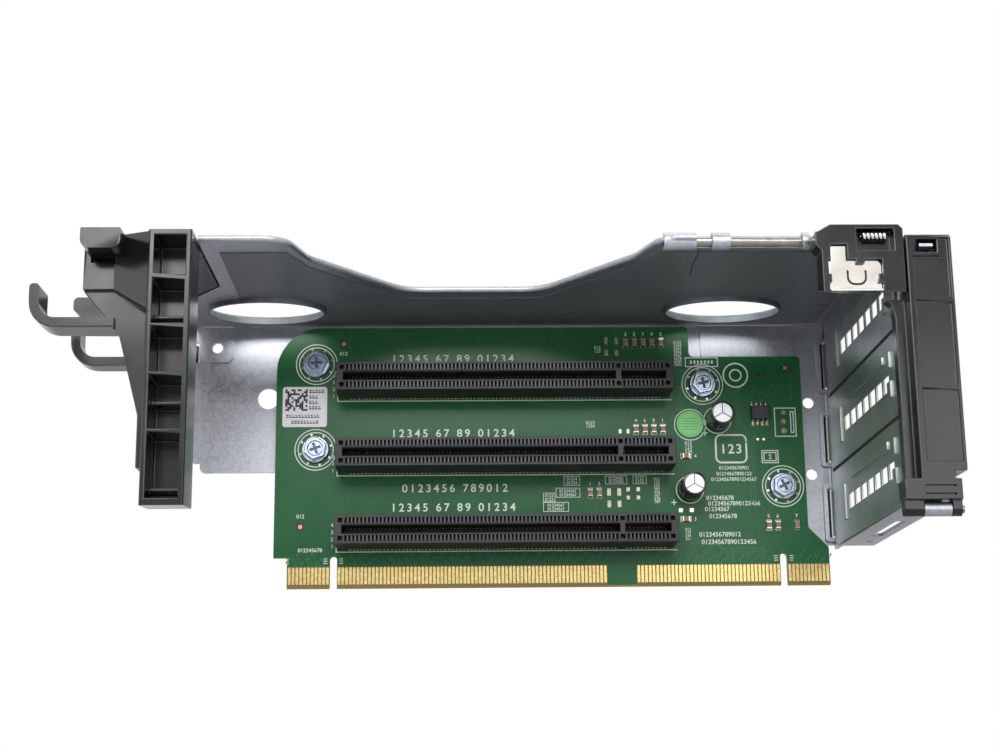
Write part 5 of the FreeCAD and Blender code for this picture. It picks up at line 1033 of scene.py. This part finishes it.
# round green sticker with one printed ring and five bars
dotSet = {"ring": 0.2, "ringShare": 0.88, "bars": (-1.5, -0.75, 0.0, 0.75, 1.5), "barHigh": 0.26,
          "barShare": 0.68, "ink": 0.012, "steps": 48}
low, high = nodeBox("inspection_dot")
x, z, radius = roundPlace(low, high)
front, back = low.y, low.y + dotSet["ink"]
work = bmesh.new()
flatDisc(work, x, z, radius, back, high.y, 0, dotSet["steps"])
flatRing(work, x, z, radius * dotSet["ringShare"], dotSet["ring"], front, back, 1)
for shift in dotSet["bars"]:
    half, tall = math.sqrt((radius * dotSet["barShare"]) ** 2 - shift ** 2), dotSet["barHigh"] / 2
    flatBox(work, x - half, z + shift - tall, x + half, z + shift + tall, front, back, 1)
makePiece("inspection_dot_shown", work, ["dot", "dotPrint"], "cage", ("inspection_dot",))
print("label and sticker made")


# latch spring: close-wound wire coil along X in the window of the latch block

springSet = {"wire": 0.46, "pitch": 0.94, "around": 18, "sides": 8, "smoothAngle": 60}
low, high = nodeBox("latch_spring")
wire, around, sides = springSet["wire"], springSet["around"], springSet["sides"]
middle = (low + high) / 2
coil = min(high.y - low.y, high.z - low.z) / 2 - wire
steps = int((high.x - low.x - 2 * wire) / springSet["pitch"] * around)
rings = []
work = bmesh.new()
for i in range(steps + 1):
    angle = 2 * math.pi * i / around
    along = low.x + wire + i * springSet["pitch"] / around
    ring = []
    for k in range(sides):
        turn = 2 * math.pi * k / sides
        radius = coil + wire * math.cos(turn)
        spot = Vector((along + wire * math.sin(turn), middle.y + radius * math.cos(angle),
                       middle.z + radius * math.sin(angle)))
        ring.append(work.verts.new(spot * mm))
    rings.append(ring)
for first, second in zip(rings, rings[1:]):
    for k in range(sides):
        work.faces.new((first[k - 1], first[k], second[k], second[k - 1]))
for ring in (rings[0], rings[-1]):
    work.faces.new(ring)
makePiece("latch_spring_shown", work, ["chrome"], "upper_latch", ("latch_spring",),
          springSet["smoothAngle"])
print("spring turns:", round(steps / around, 1))


# thin near-black lines on the film, one near the latch rod, a short one beside the slot covers: painted shade
# of creases in the film

creaseShadeSet = {"wide": 0.32, "proud": 0.015,
           "lines": (((30.6, -64.4), (30.5, -58.0), (30.55, -51.0), (31.0, -44.8)),
                     ((66.4, -16.0), (69.0, -17.2), (71.4, -17.6)))}
low, high = nodeBox("insulator_film")
work = bmesh.new()
for line in creaseShadeSet["lines"]:
    solidPlate(work, ribbon(line, creaseShadeSet["wide"]), low.z - creaseShadeSet["proud"], low.z, 0, "z")
makePiece("filmCreaseShade", work, ["gapShade"], "cage")
print("film slits:", len(creaseShadeSet["lines"]))


# near-black strips in the joints between the slot covers and in the slots of their tongues: painted shade of
# these gaps

gapShadeSet = {"inner": 73.71, "sink": 0.08, "thick": 0.34, "front": -70.0, "back": -0.5, "joint": 0.04,
           "coverGap": 0.5, "slotLeft": 0.86, "slotRight": 0.04, "slotFront": 4.25, "slotBack": 4.75,
           "slotLow": 3.1, "slotHigh": 15.9}
coverBoxes = [nodeBox("slot_cover_" + str(number)) for number in (1, 2, 3)]
inner, joint = gapShadeSet["inner"], gapShadeSet["joint"]
work = bmesh.new()
for (upperLow, upperHigh), (lowerLow, lowerHigh) in zip(coverBoxes, coverBoxes[1:]):
    outline = boxOutline(gapShadeSet["front"], lowerHigh.z + joint, gapShadeSet["back"], upperLow.z - joint)
    near = inner + gapShadeSet["sink"]
    solidPlate(work, outline, near, near + gapShadeSet["thick"], 0, "x")
for low, high in coverBoxes:
    base = low.z - gapShadeSet["coverGap"]
    flatBox(work, inner - gapShadeSet["slotLeft"], base + gapShadeSet["slotLow"], inner - gapShadeSet["slotRight"],
            base + gapShadeSet["slotHigh"], gapShadeSet["slotFront"], gapShadeSet["slotBack"])
makePiece("coverGapShade", work, ["gapShade"], "cage")

# rolled rims of the tongues, standing round those slots
rimSet = {"left": 1.3, "right": 0.1, "low": 2.6, "high": 16.4, "round": 0.5, "wide": 0.3, "front": 3.66,
          "back": 3.98}
work = bmesh.new()
for low, high in coverBoxes:
    base = low.z - gapShadeSet["coverGap"]
    outline = roundOutline(inner - rimSet["left"], base + rimSet["low"], inner - rimSet["right"],
                           base + rimSet["high"], rimSet["round"])
    lineRound(work, outline, rimSet["wide"], rimSet["front"], rimSet["back"])
makePiece("tongueRims", work, ["plated"], "cage")
print("seals and rims made")
